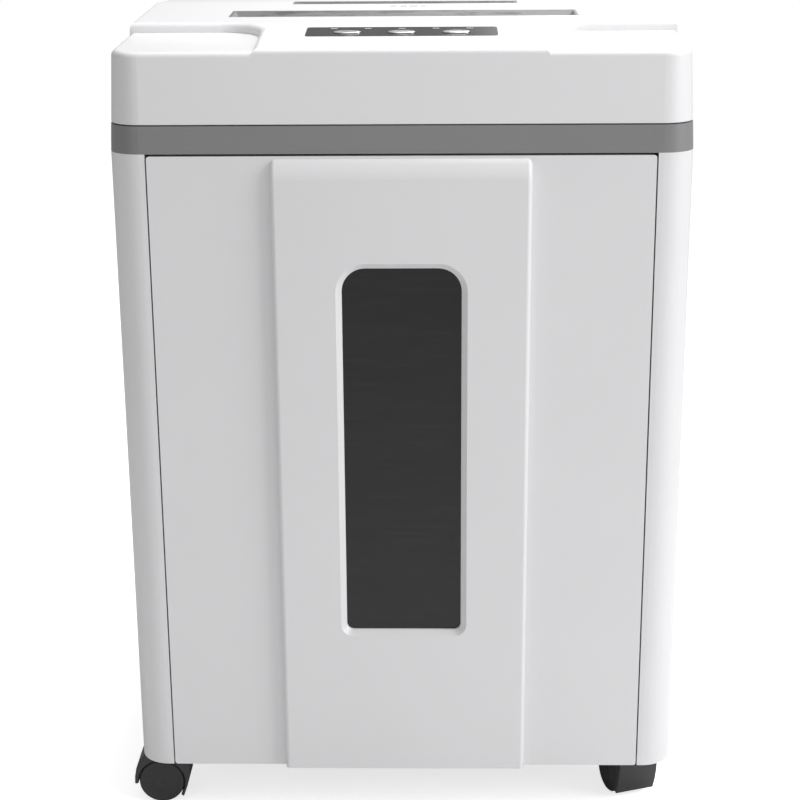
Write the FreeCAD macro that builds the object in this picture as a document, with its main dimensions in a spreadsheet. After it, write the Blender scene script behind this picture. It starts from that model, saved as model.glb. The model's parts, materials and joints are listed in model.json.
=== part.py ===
"""Office paper shredder: a cabinet on castors, a pull-out bin and a cutter head.

Millimetres, +Z up, the front faces -Y. The origin is the centre of the footprint on the floor.
"""
import FreeCAD, Part
import Sketcher
import math
import os

Vector = FreeCAD.Vector
Rotation = FreeCAD.Rotation
Placement = FreeCAD.Placement

doc = FreeCAD.newDocument("PaperShredder")
sheet = doc.addObject("Spreadsheet::Sheet", "Sizes")
nodes = []


# ---------------------------------------------------------------- sizes and expressions

class Size:
    """A number together with the sheet expression that gives it."""

    def __init__(self, text, number):
        self.text = text
        self.number = number

    def __add__(self, other):
        other = as_size(other)
        return Size(f"({self.text} + {other.text})", self.number + other.number)

    def __sub__(self, other):
        other = as_size(other)
        return Size(f"({self.text} - {other.text})", self.number - other.number)

    def __mul__(self, other):
        other = as_size(other)
        return Size(f"{self.text} * {other.text}", self.number * other.number)

    def __truediv__(self, other):
        other = as_size(other)
        return Size(f"{self.text} / {other.text}", self.number / other.number)

    def __neg__(self):
        return Size(f"(0 - {self.text})", -self.number)

    def __radd__(self, other):
        return as_size(other) + self

    def __rsub__(self, other):
        return as_size(other) - self

    def __rmul__(self, other):
        return as_size(other) * self


def as_size(thing):
    return thing if isinstance(thing, Size) else Size(repr(float(thing)), float(thing))


def angle_function(name, angle):
    number = getattr(math, name)(math.radians(angle.number))
    return Size(f"{name}({angle.text} * 1 deg)", number)


def size(alias, number):
    """Write one driving dimension into the sheet and return it."""
    size.row += 1
    sheet.set(f"A{size.row}", alias)
    sheet.set(f"B{size.row}", str(number))
    sheet.setAlias(f"B{size.row}", alias)
    return Size(f"Sizes.{alias}", float(number))


size.row = 0

# Cabinet
cabinet_width = size("cabinet_width", 393)
cabinet_depth = size("cabinet_depth", 304)
cabinet_height = size("cabinet_height", 453.5)
castor_height = size("castor_height", 42)
corner_radius = size("corner_radius", 22)
panel_wall = size("panel_wall", 4)
post_width = size("post_width", 25.5)
post_return = size("post_return", 28)
rear_return = size("rear_return", 30)
bend_margin = size("bend_margin", 0.5)
rear_panel_thick = size("rear_panel_thick", 3)
base_thick = size("base_thick", 4)
frame_thick = size("frame_thick", 8)
sensor_inset = size("sensor_inset", 16)
screw_radius = size("screw_radius", 1.6)
screw_margin = size("screw_margin", 60)

# Drawer
door_gap = size("door_gap", 1)
door_wall = size("door_wall", 3)
door_rim = size("door_rim", 12)
door_corner = size("door_corner", 2)
raise_width = size("raise_width", 174.6)
raise_depth = size("raise_depth", 6)
raise_roll = size("raise_roll", 13)
raise_edge = size("raise_edge", 3)
window_width = size("window_width", 81.6)
window_head = size("window_head", 76)
window_sill = size("window_sill", 110)
window_top_radius = size("window_top_radius", 16)
window_foot_radius = size("window_foot_radius", 5)
window_bevel = size("window_bevel", 4)
window_surround = size("window_surround", 9)
pane_margin = size("pane_margin", 6)
pane_recess = size("pane_recess", 5.5)
pane_thick = size("pane_thick", 2.5)
bin_wall = size("bin_wall", 2.5)
bin_side_room = size("bin_side_room", 36.5)
bin_rear_room = size("bin_rear_room", 37)
bin_head_room = size("bin_head_room", 53.5)
bin_lift = size("bin_lift", 6)
bin_corner = size("bin_corner", 12)
glide_width = size("glide_width", 12)
slide_gap = size("slide_gap", 0.3)
rail_wall = size("rail_wall", 2)
rail_height = size("rail_height", 22)

# Head
band_height = size("band_height", 18.5)
groove_height = size("groove_height", 1)
head_height = size("head_height", 47)
head_draft = size("head_draft", 3)
shoulder_slope = size("shoulder_slope", 2.1)
deck_step = size("deck_step", 1.5)
deck_slope = size("deck_slope", 5.4)
knee_from = size("knee_from", 92)
crest_slope = size("crest_slope", 2.2)
deck_length = size("deck_length", 215)
rear_slope = size("rear_slope", 3)
notch_depth = size("notch_depth", 97)
tongue_width = size("tongue_width", 196)
notch_radius = size("notch_radius", 30)
cover_wall = size("cover_wall", 2.5)
shoulder_round = size("shoulder_round", 4)
deck_round = size("deck_round", 4)
casing_wall = size("casing_wall", 4.7)
casing_floor = size("casing_floor", 3)
lip_height = size("lip_height", 6)
lip_gap = size("lip_gap", 0.2)
boss_radius = size("boss_radius", 4)
boss_inset_x = size("boss_inset_x", 26.5)
boss_inset_y = size("boss_inset_y", 24)

# Control fascia
fascia_width = size("fascia_width", 131)
fascia_depth = size("fascia_depth", 31)
fascia_from = size("fascia_from", 45.5)
fascia_thick = size("fascia_thick", 1.7)
fascia_inlay = size("fascia_inlay", 1.5)
fascia_ledge = size("fascia_ledge", 2.5)
fascia_radius = size("fascia_radius", 3)
fascia_gap = size("fascia_gap", 0.15)
button_width = size("button_width", 18.6)
button_depth = size("button_depth", 8.5)
button_pitch = size("button_pitch", 37.2)
button_proud = size("button_proud", 1.2)
button_from = size("button_from", 57)
button_gap = size("button_gap", 0.35)
button_travel = size("button_travel", 1)
light_pitch = size("light_pitch", 23.4)
light_from = size("light_from", 71.5)
light_width = size("light_width", 5)
light_depth = size("light_depth", 2)
board_drop = size("board_drop", 10.5)
board_thick = size("board_thick", 1.6)

# Feed and disc throats
feed_from = size("feed_from", 144)
feed_flare = size("feed_flare", 8)
feed_depth = size("feed_depth", 30)
feed_throat_width = size("feed_throat_width", 232)
feed_throat_gap = size("feed_throat_gap", 8)
feed_bevel = size("feed_bevel", 12)
feed_drop = size("feed_drop", 22)
throat_wall = size("throat_wall", 2)
disc_from = size("disc_from", 207)
disc_flare = size("disc_flare", 21)
disc_depth = size("disc_depth", 12)
disc_throat_width = size("disc_throat_width", 124)
disc_throat_gap = size("disc_throat_gap", 5)
disc_bevel = size("disc_bevel", 5)
disc_chute_length = size("disc_chute_length", 46)
disc_chute_angle = size("disc_chute_angle", 58)

# Cutter block
cheek_room = size("cheek_room", 4)
plate_thick = size("plate_thick", 3)
cutter_bite = size("cutter_bite", 4)
cutter_rise = size("cutter_rise", 22.5)
cutter_radius = size("cutter_radius", 20)
cutter_thick = size("cutter_thick", 3.6)
cutter_pitch = size("cutter_pitch", 8)
hex_flats = size("hex_flats", 12)
spacer_radius = size("spacer_radius", 10)
journal_radius = size("journal_radius", 6)
bush_radius = size("bush_radius", 9)
running_gap = size("running_gap", 0.08)
tie_radius = size("tie_radius", 4)
tie_spread = size("tie_spread", 38)
tie_low = size("tie_low", 26)
tie_high = size("tie_high", 25)
tray_depth = size("tray_depth", 25.5)
tray_wall = size("tray_wall", 2.5)
tray_room_left = size("tray_room_left", 27)
tray_room_right = size("tray_room_right", 44)
tray_room_front = size("tray_room_front", 8)
tray_room_back = size("tray_room_back", 22)

# Motor and gears
motor_radius = size("motor_radius", 35)
motor_length = size("motor_length", 118)
motor_wall = size("motor_wall", 2)
motor_shaft_radius = size("motor_shaft_radius", 4)
motor_offset_y = size("motor_offset_y", 60)
motor_drop = size("motor_drop", 6)
gear_width = size("gear_width", 8)
gear_backlash = size("gear_backlash", 0.25)
motor_module = size("motor_module", 0.8)
middle_module = size("middle_module", 1)
final_module = size("final_module", 1.25)
final_lean = size("final_lean", 158)

# Rear fittings
rocker_width = size("rocker_width", 15)
rocker_depth = size("rocker_depth", 5)
rocker_height = size("rocker_height", 9.2)
rocker_lean = size("rocker_lean", 7)
fitting_inset = size("fitting_inset", 76.5)
fitting_rise = size("fitting_rise", 22)

# Castors
castor_inset_x = size("castor_inset_x", 24.5)
castor_inset_y = size("castor_inset_y", 33)
castor_trail = size("castor_trail", 12)
wheel_radius = size("wheel_radius", 17)
wheel_width = size("wheel_width", 12)
hood_radius = size("hood_radius", 20.5)
hood_web = size("hood_web", 6)
hood_gap = size("hood_gap", 0.6)
stem_radius = size("stem_radius", 5)

# Places that several pieces share
front_plane = -cabinet_depth / 2 + raise_depth / 2
back_plane = cabinet_depth / 2 + raise_depth / 2
middle_y = raise_depth / 2
cabinet_top = castor_height + cabinet_height
band_top = cabinet_top + band_height
head_base = band_top + groove_height
shoulder_z = band_top + groove_height + head_height
deck_z = shoulder_z + deck_step
slope_rise = angle_function("tan", deck_slope)
crest_rise = angle_function("tan", crest_slope)
shoulder_rise = angle_function("tan", shoulder_slope)
rear_rise = angle_function("tan", rear_slope)
draft_rise = angle_function("tan", head_draft)
knee_z = deck_z + slope_rise * knee_from
crest_z = knee_z + crest_rise * (deck_length - knee_from)
opening_half = cabinet_width / 2 - post_width
door_half = opening_half - door_gap
door_height = cabinet_height - door_gap * 1.5
window_height = door_height - window_sill - window_head
bin_half_width = cabinet_width / 2 - bin_side_room
bin_depth = cabinet_depth - bin_rear_room
bin_height = cabinet_height - bin_head_room
boss_across = cabinet_width / 2 - boss_inset_x
boss_spread = cabinet_depth / 2 - boss_inset_y
feed_width = feed_throat_width + feed_flare * 2
disc_width = disc_throat_width + disc_flare * 2
plate_inner = feed_throat_width / 2 + cheek_room
cutter_centre = cutter_radius * 2 - cutter_bite
cutter_z = cabinet_top + cutter_rise
front_axis_y = front_plane + feed_from - cutter_centre / 2
rear_axis_y = front_axis_y + cutter_centre
motor_y = front_axis_y - motor_offset_y
motor_z = cutter_z - motor_drop
floor_z = cabinet_top + casing_floor
tray_z = cabinet_top - tray_depth
plate_outer = plate_inner + plate_thick


# ---------------------------------------------------------------- building helpers

def bind(thing, **places):
    for name, amount in places.items():
        thing.setExpression(name, as_size(amount).text)


def put(thing, x=0, y=0, z=0):
    for axis, amount in zip("xyz", (x, y, z)):
        thing.setExpression(f".Placement.Base.{axis}", as_size(amount).text)
    return thing


def turn(thing, axis, angle):
    """Give an object a fixed rotation; its place is bound separately."""
    thing.Placement = Placement(thing.Placement.Base, Rotation(axis, angle))
    return thing


def tilt(thing, angle):
    """Lean an object back about the X axis by an angle kept in the sheet."""
    thing.Placement = Placement(Vector(), Rotation(Vector(1, 0, 0), angle.number))
    thing.setExpression("Placement.Rotation.Angle", f"{angle.text} * 1 deg")
    return thing


def box(name, length, width, height, x=0, y=0, z=0):
    solid = doc.addObject("Part::Box", name)
    bind(solid, Length=length, Width=width, Height=height)
    return put(solid, x, y, z)


def centred_box(name, length, width, height, x=0, y=0, z=0):
    return box(name, length, width, height, x - as_size(length) / 2, y - as_size(width) / 2, z)


def cylinder(name, radius, height, x=0, y=0, z=0, along="z"):
    solid = doc.addObject("Part::Cylinder", name)
    bind(solid, Radius=radius, Height=height)
    if along == "x":
        turn(solid, Vector(0, 1, 0), 90)
    if along == "y":
        turn(solid, Vector(1, 0, 0), -90)
    return put(solid, x, y, z)


def fuse(name, *solids):
    joined = doc.addObject("Part::MultiFuse", name)
    joined.Shapes = list(solids)
    joined.Refine = True
    return joined


def cut(name, base, *tools):
    result = doc.addObject("Part::Cut", name)
    result.Base = base
    result.Tool = tools[0] if len(tools) == 1 else fuse(name + "_tools", *tools)
    result.Refine = True
    return result


def group(name, *solids):
    """Several separate solids that share one node."""
    bundle = doc.addObject("Part::Compound", name)
    bundle.Links = list(solids)
    return bundle


def node(thing, label):
    thing.Label = label
    nodes.append(thing)
    return thing


def body(name, x=0, y=0, z=0):
    made = doc.addObject("PartDesign::Body", name)
    return put(made, x, y, z)


def sketch(owner, name, plane="XY_Plane", x=0, y=0, z=0):
    """A sketch on one of the body's own origin planes, offset by sizes from the sheet."""
    made = owner.newObject("Sketcher::SketchObject", name)
    support = next(part for part in owner.Origin.OriginFeatures if part.Role == plane)
    made.AttachmentSupport = (support, [""])
    made.MapMode = "FlatFace"
    for axis, amount in zip("xyz", (x, y, z)):
        made.setExpression(f".AttachmentOffset.Base.{axis}", as_size(amount).text)
    return made


def limit(made, name, kind, *picks, amount):
    """A named dimension bound to the sheet."""
    number = made.addConstraint(Sketcher.Constraint(kind, *picks, as_size(amount).number))
    made.renameConstraint(number, name)
    made.setExpression(f"Constraints.{name}", as_size(amount).text)


def rounded_outline(made, tag, width, height, radius, foot_radius=None):
    """A rectangle about the sketch origin with rounded corners, the lower pair optionally different."""
    width = as_size(width)
    height = as_size(height)
    radius = as_size(radius)
    foot = as_size(radius if foot_radius is None else foot_radius)
    arcs = []
    for index, (across, up) in enumerate(((1, 1), (-1, 1), (-1, -1), (1, -1))):
        bend = radius.number if up > 0 else foot.number
        centre = Vector(across * (width.number / 2 - bend), up * (height.number / 2 - bend), 0)
        circle = Part.Circle(centre, Vector(0, 0, 1), bend)
        start = index * math.pi / 2
        arcs.append(made.addGeometry(Part.ArcOfCircle(circle, start, start + math.pi / 2)))
    lines = []
    for index in range(4):
        this_arc = arcs[index]
        next_arc = arcs[(index + 1) % 4]
        line = Part.LineSegment(made.getPoint(this_arc, 2), made.getPoint(next_arc, 1))
        lines.append(made.addGeometry(line))
    for index in range(4):
        made.addConstraint(Sketcher.Constraint("Tangent", arcs[index], 2, lines[index], 1))
        made.addConstraint(Sketcher.Constraint("Tangent", lines[index], 2, arcs[(index + 1) % 4], 1))
    for index, kind in enumerate(("Horizontal", "Vertical", "Horizontal", "Vertical")):
        made.addConstraint(Sketcher.Constraint(kind, lines[index]))
    made.addConstraint(Sketcher.Constraint("Equal", arcs[0], arcs[1]))
    made.addConstraint(Sketcher.Constraint("Equal", arcs[2], arcs[3]))
    limit(made, tag + "Radius", "Radius", arcs[0], amount=radius)
    limit(made, tag + "FootRadius", "Radius", arcs[2], amount=foot)
    limit(made, tag + "Right", "DistanceX", -1, 1, lines[3], 1, amount=width / 2)
    limit(made, tag + "Left", "DistanceX", lines[1], 1, -1, 1, amount=width / 2)
    limit(made, tag + "Top", "DistanceY", -1, 1, lines[0], 1, amount=height / 2)
    limit(made, tag + "Foot", "DistanceY", lines[2], 1, -1, 1, amount=height / 2)


def polygon(made, tag, points):
    """A closed outline whose corners are all bound to the sheet."""
    corners = [(as_size(across), as_size(up)) for across, up in points]
    lines = []
    for index, (across, up) in enumerate(corners):
        ahead = corners[(index + 1) % len(corners)]
        start = Vector(across.number, up.number, 0)
        end = Vector(ahead[0].number, ahead[1].number, 0)
        lines.append(made.addGeometry(Part.LineSegment(start, end)))
    for index in range(len(lines)):
        follower = lines[(index + 1) % len(lines)]
        made.addConstraint(Sketcher.Constraint("Coincident", lines[index], 2, follower, 1))
    for index, (across, up) in enumerate(corners):
        for kind, letter, amount in (("DistanceX", "Across", across), ("DistanceY", "Up", up)):
            picks = (-1, 1, lines[index], 1)
            if amount.number < 0:
                picks = (lines[index], 1, -1, 1)
                amount = -amount
            limit(made, f"{tag}{letter}{index}", kind, *picks, amount=amount)
    return lines


def pad(owner, name, profile, length, backwards=False, both_ways=False, draft=None):
    feature = owner.newObject("PartDesign::Pad", name)
    feature.Profile = profile
    bind(feature, Length=length)
    feature.Reversed = backwards
    if both_ways:
        feature.SideType = "Symmetric"
    if draft is not None:
        feature.setExpression("TaperAngle", f"{as_size(draft).text} * 1 deg")
    return feature


def pocket(owner, name, profile, length, backwards=False, both_ways=False, draft=None):
    feature = owner.newObject("PartDesign::Pocket", name)
    feature.Profile = profile
    bind(feature, Length=length)
    feature.Reversed = backwards
    if both_ways:
        feature.SideType = "Symmetric"
    if draft is not None:
        feature.setExpression("TaperAngle", f"{as_size(draft).text} * 1 deg")
    return feature


def dress(owner, kind, name, base, amount, choose):
    """A fillet or chamfer on every edge of the base feature that the test picks."""
    doc.recompute()
    edges = [f"Edge{place + 1}" for place, edge in enumerate(base.Shape.Edges) if choose(edge)]
    feature = owner.newObject(f"PartDesign::{kind}", name)
    feature.Base = (base, edges)
    bind(feature, **{"Radius" if kind == "Fillet" else "Size": amount})
    return feature


def spans(edge):
    limits = edge.BoundBox
    return (limits.XLength, limits.YLength, limits.ZLength)


# ---------------------------------------------------------------- cabinet

def is_upright_at(across):
    """A test for the upright edges at a distance across."""
    def test(edge):
        bounds = edge.BoundBox
        return bounds.ZLength > 1 and bounds.XLength < 0.01 and abs(bounds.XMin - across.number) < 0.01
    return test


def side_panel(label, side):
    """One moulded side with its rounded front post and rear return, drawn in plan."""
    panel = body(label, z=castor_height)
    plan = sketch(panel, label + "_plan")
    outer = cabinet_width / 2
    inner = outer - panel_wall
    post_y = front_plane + post_return
    front_inner = front_plane + panel_wall
    back_inner = back_plane - panel_wall
    corners = [
        (opening_half, post_y),
        (opening_half, front_plane),
        (outer, front_plane),
        (outer, back_plane),
        (outer - rear_return, back_plane),
        (outer - rear_return, back_inner),
        (inner, back_inner),
        (inner, front_inner),
        (opening_half + panel_wall, front_inner),
        (opening_half + panel_wall, post_y),
    ]
    polygon(plan, "corner", [(across * side, away) for across, away in corners])
    pad(panel, label + "_wall", plan, cabinet_height)
    inner_bend = post_width - panel_wall * 2 - bend_margin
    for name, reach, bend in (("outer", outer, corner_radius), ("inner", inner, inner_bend)):
        dress(panel, "Fillet", f"{label}_{name}_bends", panel.Tip, bend, is_upright_at(side * reach))
    holes = sketch(panel, label + "_holes", "XZ_Plane", z=-(back_plane - panel_wall / 2))
    for row in range(3):
        x, z = rear_screw_place(side, row)
        add_hole(holes, f"screw{row}", x, z - castor_height, screw_radius)
    pocket(panel, label + "_screw_holes", holes, panel_wall + 2, both_ways=True)
    node(panel, label)


def rear_panel():
    """A sheet that closes the back, screwed behind the two rear returns."""
    width = cabinet_width - corner_radius * 2
    sheet_y = back_plane - panel_wall - rear_panel_thick
    panel = box("rear_sheet", width, rear_panel_thick, cabinet_height, -width / 2, sheet_y, castor_height)
    node(panel, "rear_panel")


def rear_screw_place(side, row):
    """Across and height of one of the three screws on each side of the back."""
    x = side * (cabinet_width / 2 - rear_return + screw_radius * 2.5)
    z = castor_height + screw_margin + row * ((cabinet_height - screw_margin * 2) / 2)
    return x, z


def rear_screws():
    heads = []
    for side in (-1, 1):
        for row in range(3):
            x, z = rear_screw_place(side, row)
            name = f"rear_screw{side + 1}{row}"
            heads.append(cylinder(name, screw_radius, panel_wall, x, back_plane - panel_wall, z, "y"))
    return heads


def base_plate():
    """The floor of the cabinet, bored for the four castor stems."""
    width = cabinet_width - panel_wall * 2
    front = front_plane + post_return + 0.5
    depth = back_plane - panel_wall - rear_panel_thick - front
    plate = body("base_plate", y=front + depth / 2, z=castor_height)
    outline = sketch(plate, "base_outline")
    rounded_outline(outline, "base", width, depth, corner_radius - panel_wall)
    pad(plate, "base_pad", outline, base_thick)
    doc.recompute()
    holes = sketch(plate, "stem_holes")
    for side in (-1, 1):
        for end in (-1, 1):
            x = cabinet_width / 2 - castor_inset_x
            y = castor_centre_y(end) - (front + depth / 2)
            add_hole(holes, f"stem{side + 1}{end + 1}", side * x, y, stem_radius + running_gap)
    pocket(plate, "stem_pocket", holes, base_thick, backwards=True)
    node(plate, "base_plate")


def castor_centre_y(end):
    """Where the castors stand along the depth: -1 is the front pair, 1 the rear pair."""
    return middle_y + end * (cabinet_depth / 2 - castor_inset_y)


def add_hole(made, tag, x, y, radius):
    x = as_size(x)
    y = as_size(y)
    radius = as_size(radius)
    circle = Part.Circle(Vector(x.number, y.number, 0), Vector(0, 0, 1), radius.number)
    place = made.addGeometry(circle)
    limit(made, tag + "Radius", "Radius", place, amount=radius)
    for kind, letter, amount in (("DistanceX", "X", x), ("DistanceY", "Y", y)):
        picks = (-1, 1, place, 3)
        if amount.number < 0:
            picks = (place, 3, -1, 1)
            amount = -amount
        limit(made, tag + letter, kind, *picks, amount=amount)


def support_frame():
    """Three-sided shelf at the top of the cabinet that the head rests on."""
    z = cabinet_top - frame_thick
    inner_half = cabinet_width / 2 - panel_wall
    rear_y = back_plane - panel_wall - rear_panel_thick
    front_y = front_plane + post_return + 0.5
    shelf = box("frame_shelf", inner_half * 2, rear_y - front_y, frame_thick, -inner_half, front_y, z)
    x_low, x_high, _, y_high = drive_room()
    clear = 1
    width = x_high - x_low + clear * 2
    gap = box("frame_gap", width, y_high + clear - front_y, frame_thick, x_low - clear, front_y, z)
    corners = []
    for side in (-1, 1):
        x = side * inner_half
        corners.append(centred_box(f"frame_notch{side + 1}", 36, 30, frame_thick, x, rear_y, z))
    node(cut("frame_body", shelf, gap, *corners), "head_support_frame")


# ---------------------------------------------------------------- drawer

def drawer_front():
    """Moulded front: a flat skin with a rim, a proud centre panel and a bevelled window."""
    lift = castor_height
    front = body("drawer_front", y=front_plane, z=lift)
    middle = door_height / 2
    skin = sketch(front, "door_outline", "XZ_Plane", y=middle, z=-door_wall)
    rounded_outline(skin, "skin", door_half * 2, door_height, door_corner)
    pad(front, "door_skin", skin, door_wall)
    roll = (raise_roll * raise_roll + raise_depth * raise_depth) / (raise_depth * 2)
    side_view = sketch(front, "raise_profile", "YZ_Plane")
    add_raise_profile(side_view, door_height - 2, roll)
    proud = pad(front, "raised_panel", side_view, raise_width, both_ways=True)
    dress(front, "Fillet", "raised_edges", proud, raise_edge, is_raised_side)
    rim = sketch(front, "rim_outline", "XZ_Plane", y=middle, z=-door_wall)
    rounded_outline(rim, "outer", door_half * 2, door_height, door_corner)
    rounded_outline(rim, "inner", (door_half - door_wall) * 2, door_height - door_wall * 2, door_corner / 2)
    pad(front, "rim", rim, door_rim - door_wall, backwards=True)
    hollow = sketch(front, "hollow_outline", "XZ_Plane", y=middle, z=-door_wall)
    rounded_outline(hollow, "room", raise_width - door_wall * 2, door_height - raise_roll * 2, door_corner)
    surround = window_width + window_surround * 2
    surround_tall = window_height + window_surround * 2
    window_middle = window_sill + window_height / 2
    add_island(hollow, surround, surround_tall, window_middle - middle)
    doc.recompute()
    pocket(front, "panel_hollow", hollow, raise_depth, backwards=True)
    seat = sketch(front, "pane_seat", "XZ_Plane", y=window_middle, z=-door_wall)
    margin = pane_margin * 2 + lip_gap * 2
    rounded_outline(seat, "seat", window_width + margin, window_height + margin, 0.5)
    pocket(front, "pane_rebate", seat, door_wall + raise_depth - pane_recess, backwards=True)
    window = sketch(front, "window_outline", "XZ_Plane", y=window_middle, z=raise_depth)
    rounded_outline(window, "window", window_width, window_height, window_top_radius, window_foot_radius)
    opened = pocket(front, "window_opening", window, door_wall + raise_depth + 1)
    dress(front, "Chamfer", "window_bevel", opened, window_bevel, is_window_rim)
    node(front, "drawer_front")


def add_raise_profile(made, top, roll):
    """Side view of the proud panel: straight face, then an arc that rolls back to the skin."""
    face = -raise_depth
    straight = top - raise_roll
    foot = made.addGeometry(Part.LineSegment(Vector(0, 0, 0), Vector(face.number, 0, 0)))
    bend_start = Vector(face.number, straight.number, 0)
    front = made.addGeometry(Part.LineSegment(Vector(face.number, 0, 0), bend_start))
    angle = math.asin(raise_roll.number / roll.number)
    centre = Vector(face.number + roll.number, straight.number, 0)
    circle = Part.Circle(centre, Vector(0, 0, 1), roll.number)
    bend = made.addGeometry(Part.ArcOfCircle(circle, math.pi - angle, math.pi))
    back = made.addGeometry(Part.LineSegment(Vector(0, top.number, 0), Vector(0, 0, 0)))
    made.addConstraint(Sketcher.Constraint("Coincident", foot, 2, front, 1))
    made.addConstraint(Sketcher.Constraint("Tangent", front, 2, bend, 2))
    made.addConstraint(Sketcher.Constraint("Coincident", bend, 1, back, 1))
    made.addConstraint(Sketcher.Constraint("Coincident", back, 2, foot, 1))
    made.addConstraint(Sketcher.Constraint("Coincident", foot, 1, -1, 1))
    made.addConstraint(Sketcher.Constraint("Horizontal", foot))
    made.addConstraint(Sketcher.Constraint("Vertical", front))
    made.addConstraint(Sketcher.Constraint("Vertical", back))
    limit(made, "proud", "DistanceX", front, 1, -1, 1, amount=raise_depth)
    limit(made, "straight", "DistanceY", front, 1, front, 2, amount=straight)
    limit(made, "tall", "DistanceY", -1, 1, back, 1, amount=top)


def add_island(made, width, height, lift):
    points = [(-width / 2, lift - height / 2), (width / 2, lift - height / 2)]
    points += [(width / 2, lift + height / 2), (-width / 2, lift + height / 2)]
    polygon(made, "island", points)


def is_raised_side(edge):
    across, away, up = spans(edge)
    limits = edge.BoundBox
    on_side = abs(abs(limits.Center.x) - raise_width.number / 2) < 0.01 and across < 0.01
    return on_side and up > 5 and limits.YMin < -1 and not (away < 0.01 and limits.YMax > -0.5)


def is_window_rim(edge):
    limits = edge.BoundBox
    half = window_width.number / 2 + 0.1
    inside = abs(limits.XMin) < half and abs(limits.XMax) < half
    return inside and abs(limits.YMin + raise_depth.number) < 0.01 and limits.YLength < 0.01


def window_pane():
    """Smoked sheet seated behind the window surround."""
    width = window_width + pane_margin * 2
    tall = window_height + pane_margin * 2
    y = front_plane - raise_depth + pane_recess
    z = castor_height + window_sill - pane_margin
    pane = box("pane_sheet", width, pane_thick, tall, -width / 2, y, z)
    node(pane, "window_pane")


def bin_tub():
    """Open box behind the drawer front, cut away behind the window so the level shows."""
    y = front_plane + door_rim + bin_depth / 2
    tub = body("bin_tub", y=y, z=castor_height + base_thick + bin_lift)
    outline = sketch(tub, "tub_outline")
    rounded_outline(outline, "tub", bin_half_width * 2, bin_depth, bin_corner)
    pad(tub, "tub_block", outline, bin_height)
    room = sketch(tub, "tub_room", z=bin_wall)
    inner = (bin_half_width - bin_wall) * 2
    rounded_outline(room, "room", inner, bin_depth - bin_wall * 2, bin_corner - bin_wall)
    pocket(tub, "tub_hollow", room, bin_height, backwards=True)
    middle = window_sill + window_height / 2 - base_thick - bin_lift
    gap = sketch(tub, "tub_window", "XZ_Plane", y=middle, z=bin_depth / 2)
    margin = pane_margin * 2
    rounded_outline(gap, "gap", window_width + margin, window_height + margin, window_top_radius)
    pocket(tub, "tub_opening", gap, bin_corner)
    node(tub, "bin_tub")


def bin_glides():
    """Two slippery strips under the tub that ride on the base plate."""
    strips = []
    length = bin_depth - bin_corner * 2
    y = front_plane + door_rim + bin_depth / 2
    for side in (-1, 1):
        x = side * (bin_half_width - glide_width * 2)
        height = bin_lift - slide_gap
        z = castor_height + base_thick + slide_gap
        strips.append(centred_box(f"glide{side + 1}", glide_width, length, height, x, y, z))
    node(group("glide_pair", *strips), "bin_glides")


def bin_runners():
    """Two angle rails screwed to the base that keep the bin square as it slides."""
    rails = [runner("runner_left", -1), runner("runner_right", 1)]
    node(group("runner_pair", *rails), "bin_runners")


def runner(label, side):
    length = bin_depth - 40
    y = front_plane + post_return + 4
    z = castor_height + base_thick
    near = bin_half_width + slide_gap * 2
    flange = rail_wall * 5
    foot_x = near if side > 0 else -near - flange
    wall_x = near if side > 0 else -near - rail_wall
    foot = box(label + "_foot", flange, length, rail_wall, foot_x, y, z)
    wall = box(label + "_wall", rail_wall, length, rail_height, wall_x, y, z)
    return fuse(label + "_angle", foot, wall)


def drawer_sensing():
    """Magnet on the back of the bin rim, reed sensor on the frame above it."""
    rim_y = front_plane + door_rim + bin_depth
    rim_z = castor_height + base_thick + bin_lift + bin_height
    magnet = box("magnet_block", 14, 4, 10, 40, rim_y, rim_z - 12)
    node(magnet, "sensor_magnet")
    rear_y = back_plane - panel_wall - rear_panel_thick
    sensor_y = rear_y - sensor_inset
    sensor = box("sensor_block", 20, 6, 24, 37, sensor_y, cabinet_top - frame_thick - 24)
    node(sensor, "drawer_sensor")


# ---------------------------------------------------------------- head casings

def lower_casing():
    """Grey band between cabinet and head: drafted wall, floor and a lip for the cover."""
    shell = body("lower_casing", y=middle_y)
    outline = sketch(shell, "band_outline", z=cabinet_top)
    rounded_outline(outline, "band", cabinet_width, cabinet_depth, corner_radius)
    pad(shell, "band", outline, band_height, draft=-head_draft)
    shrink = (draft_rise * band_height + cover_wall + lip_gap) * 2
    lip = sketch(shell, "lip_outline", z=band_top)
    lip_bend = corner_radius - cover_wall - lip_gap
    rounded_outline(lip, "lip", cabinet_width - shrink, cabinet_depth - shrink, lip_bend)
    pad(shell, "lip", lip, lip_height, draft=-head_draft)
    room = sketch(shell, "casing_room", z=floor_z)
    room_shrink = shrink + (casing_wall - cover_wall) * 2
    bend = corner_radius - casing_wall
    rounded_outline(room, "room", cabinet_width - room_shrink, cabinet_depth - room_shrink, bend)
    pocket(shell, "casing_hollow", room, band_height + lip_height, backwards=True)
    drive = sketch(shell, "drive_opening", z=cabinet_top)
    x_low, x_high, y_low, y_high = drive_room()
    inset = tray_wall + 1.5
    points = [(x_low + inset, y_low + inset - middle_y), (x_high - inset, y_low + inset - middle_y)]
    points += [(x_high - inset, y_high - inset - middle_y), (x_low + inset, y_high - inset - middle_y)]
    polygon(drive, "drive", points)
    pocket(shell, "drive_hole", drive, casing_floor, backwards=True)
    node(shell, "lower_casing")


def drive_room():
    """Plan limits of the tray that hangs below the head, from the mechanism inside it."""
    x_low = -plate_outer - tray_room_left
    x_high = plate_outer + tray_room_right
    y_low = motor_y - motor_radius - tray_room_front
    y_high = rear_axis_y + cutter_radius + tray_room_back
    return x_low, x_high, y_low, y_high


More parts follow.
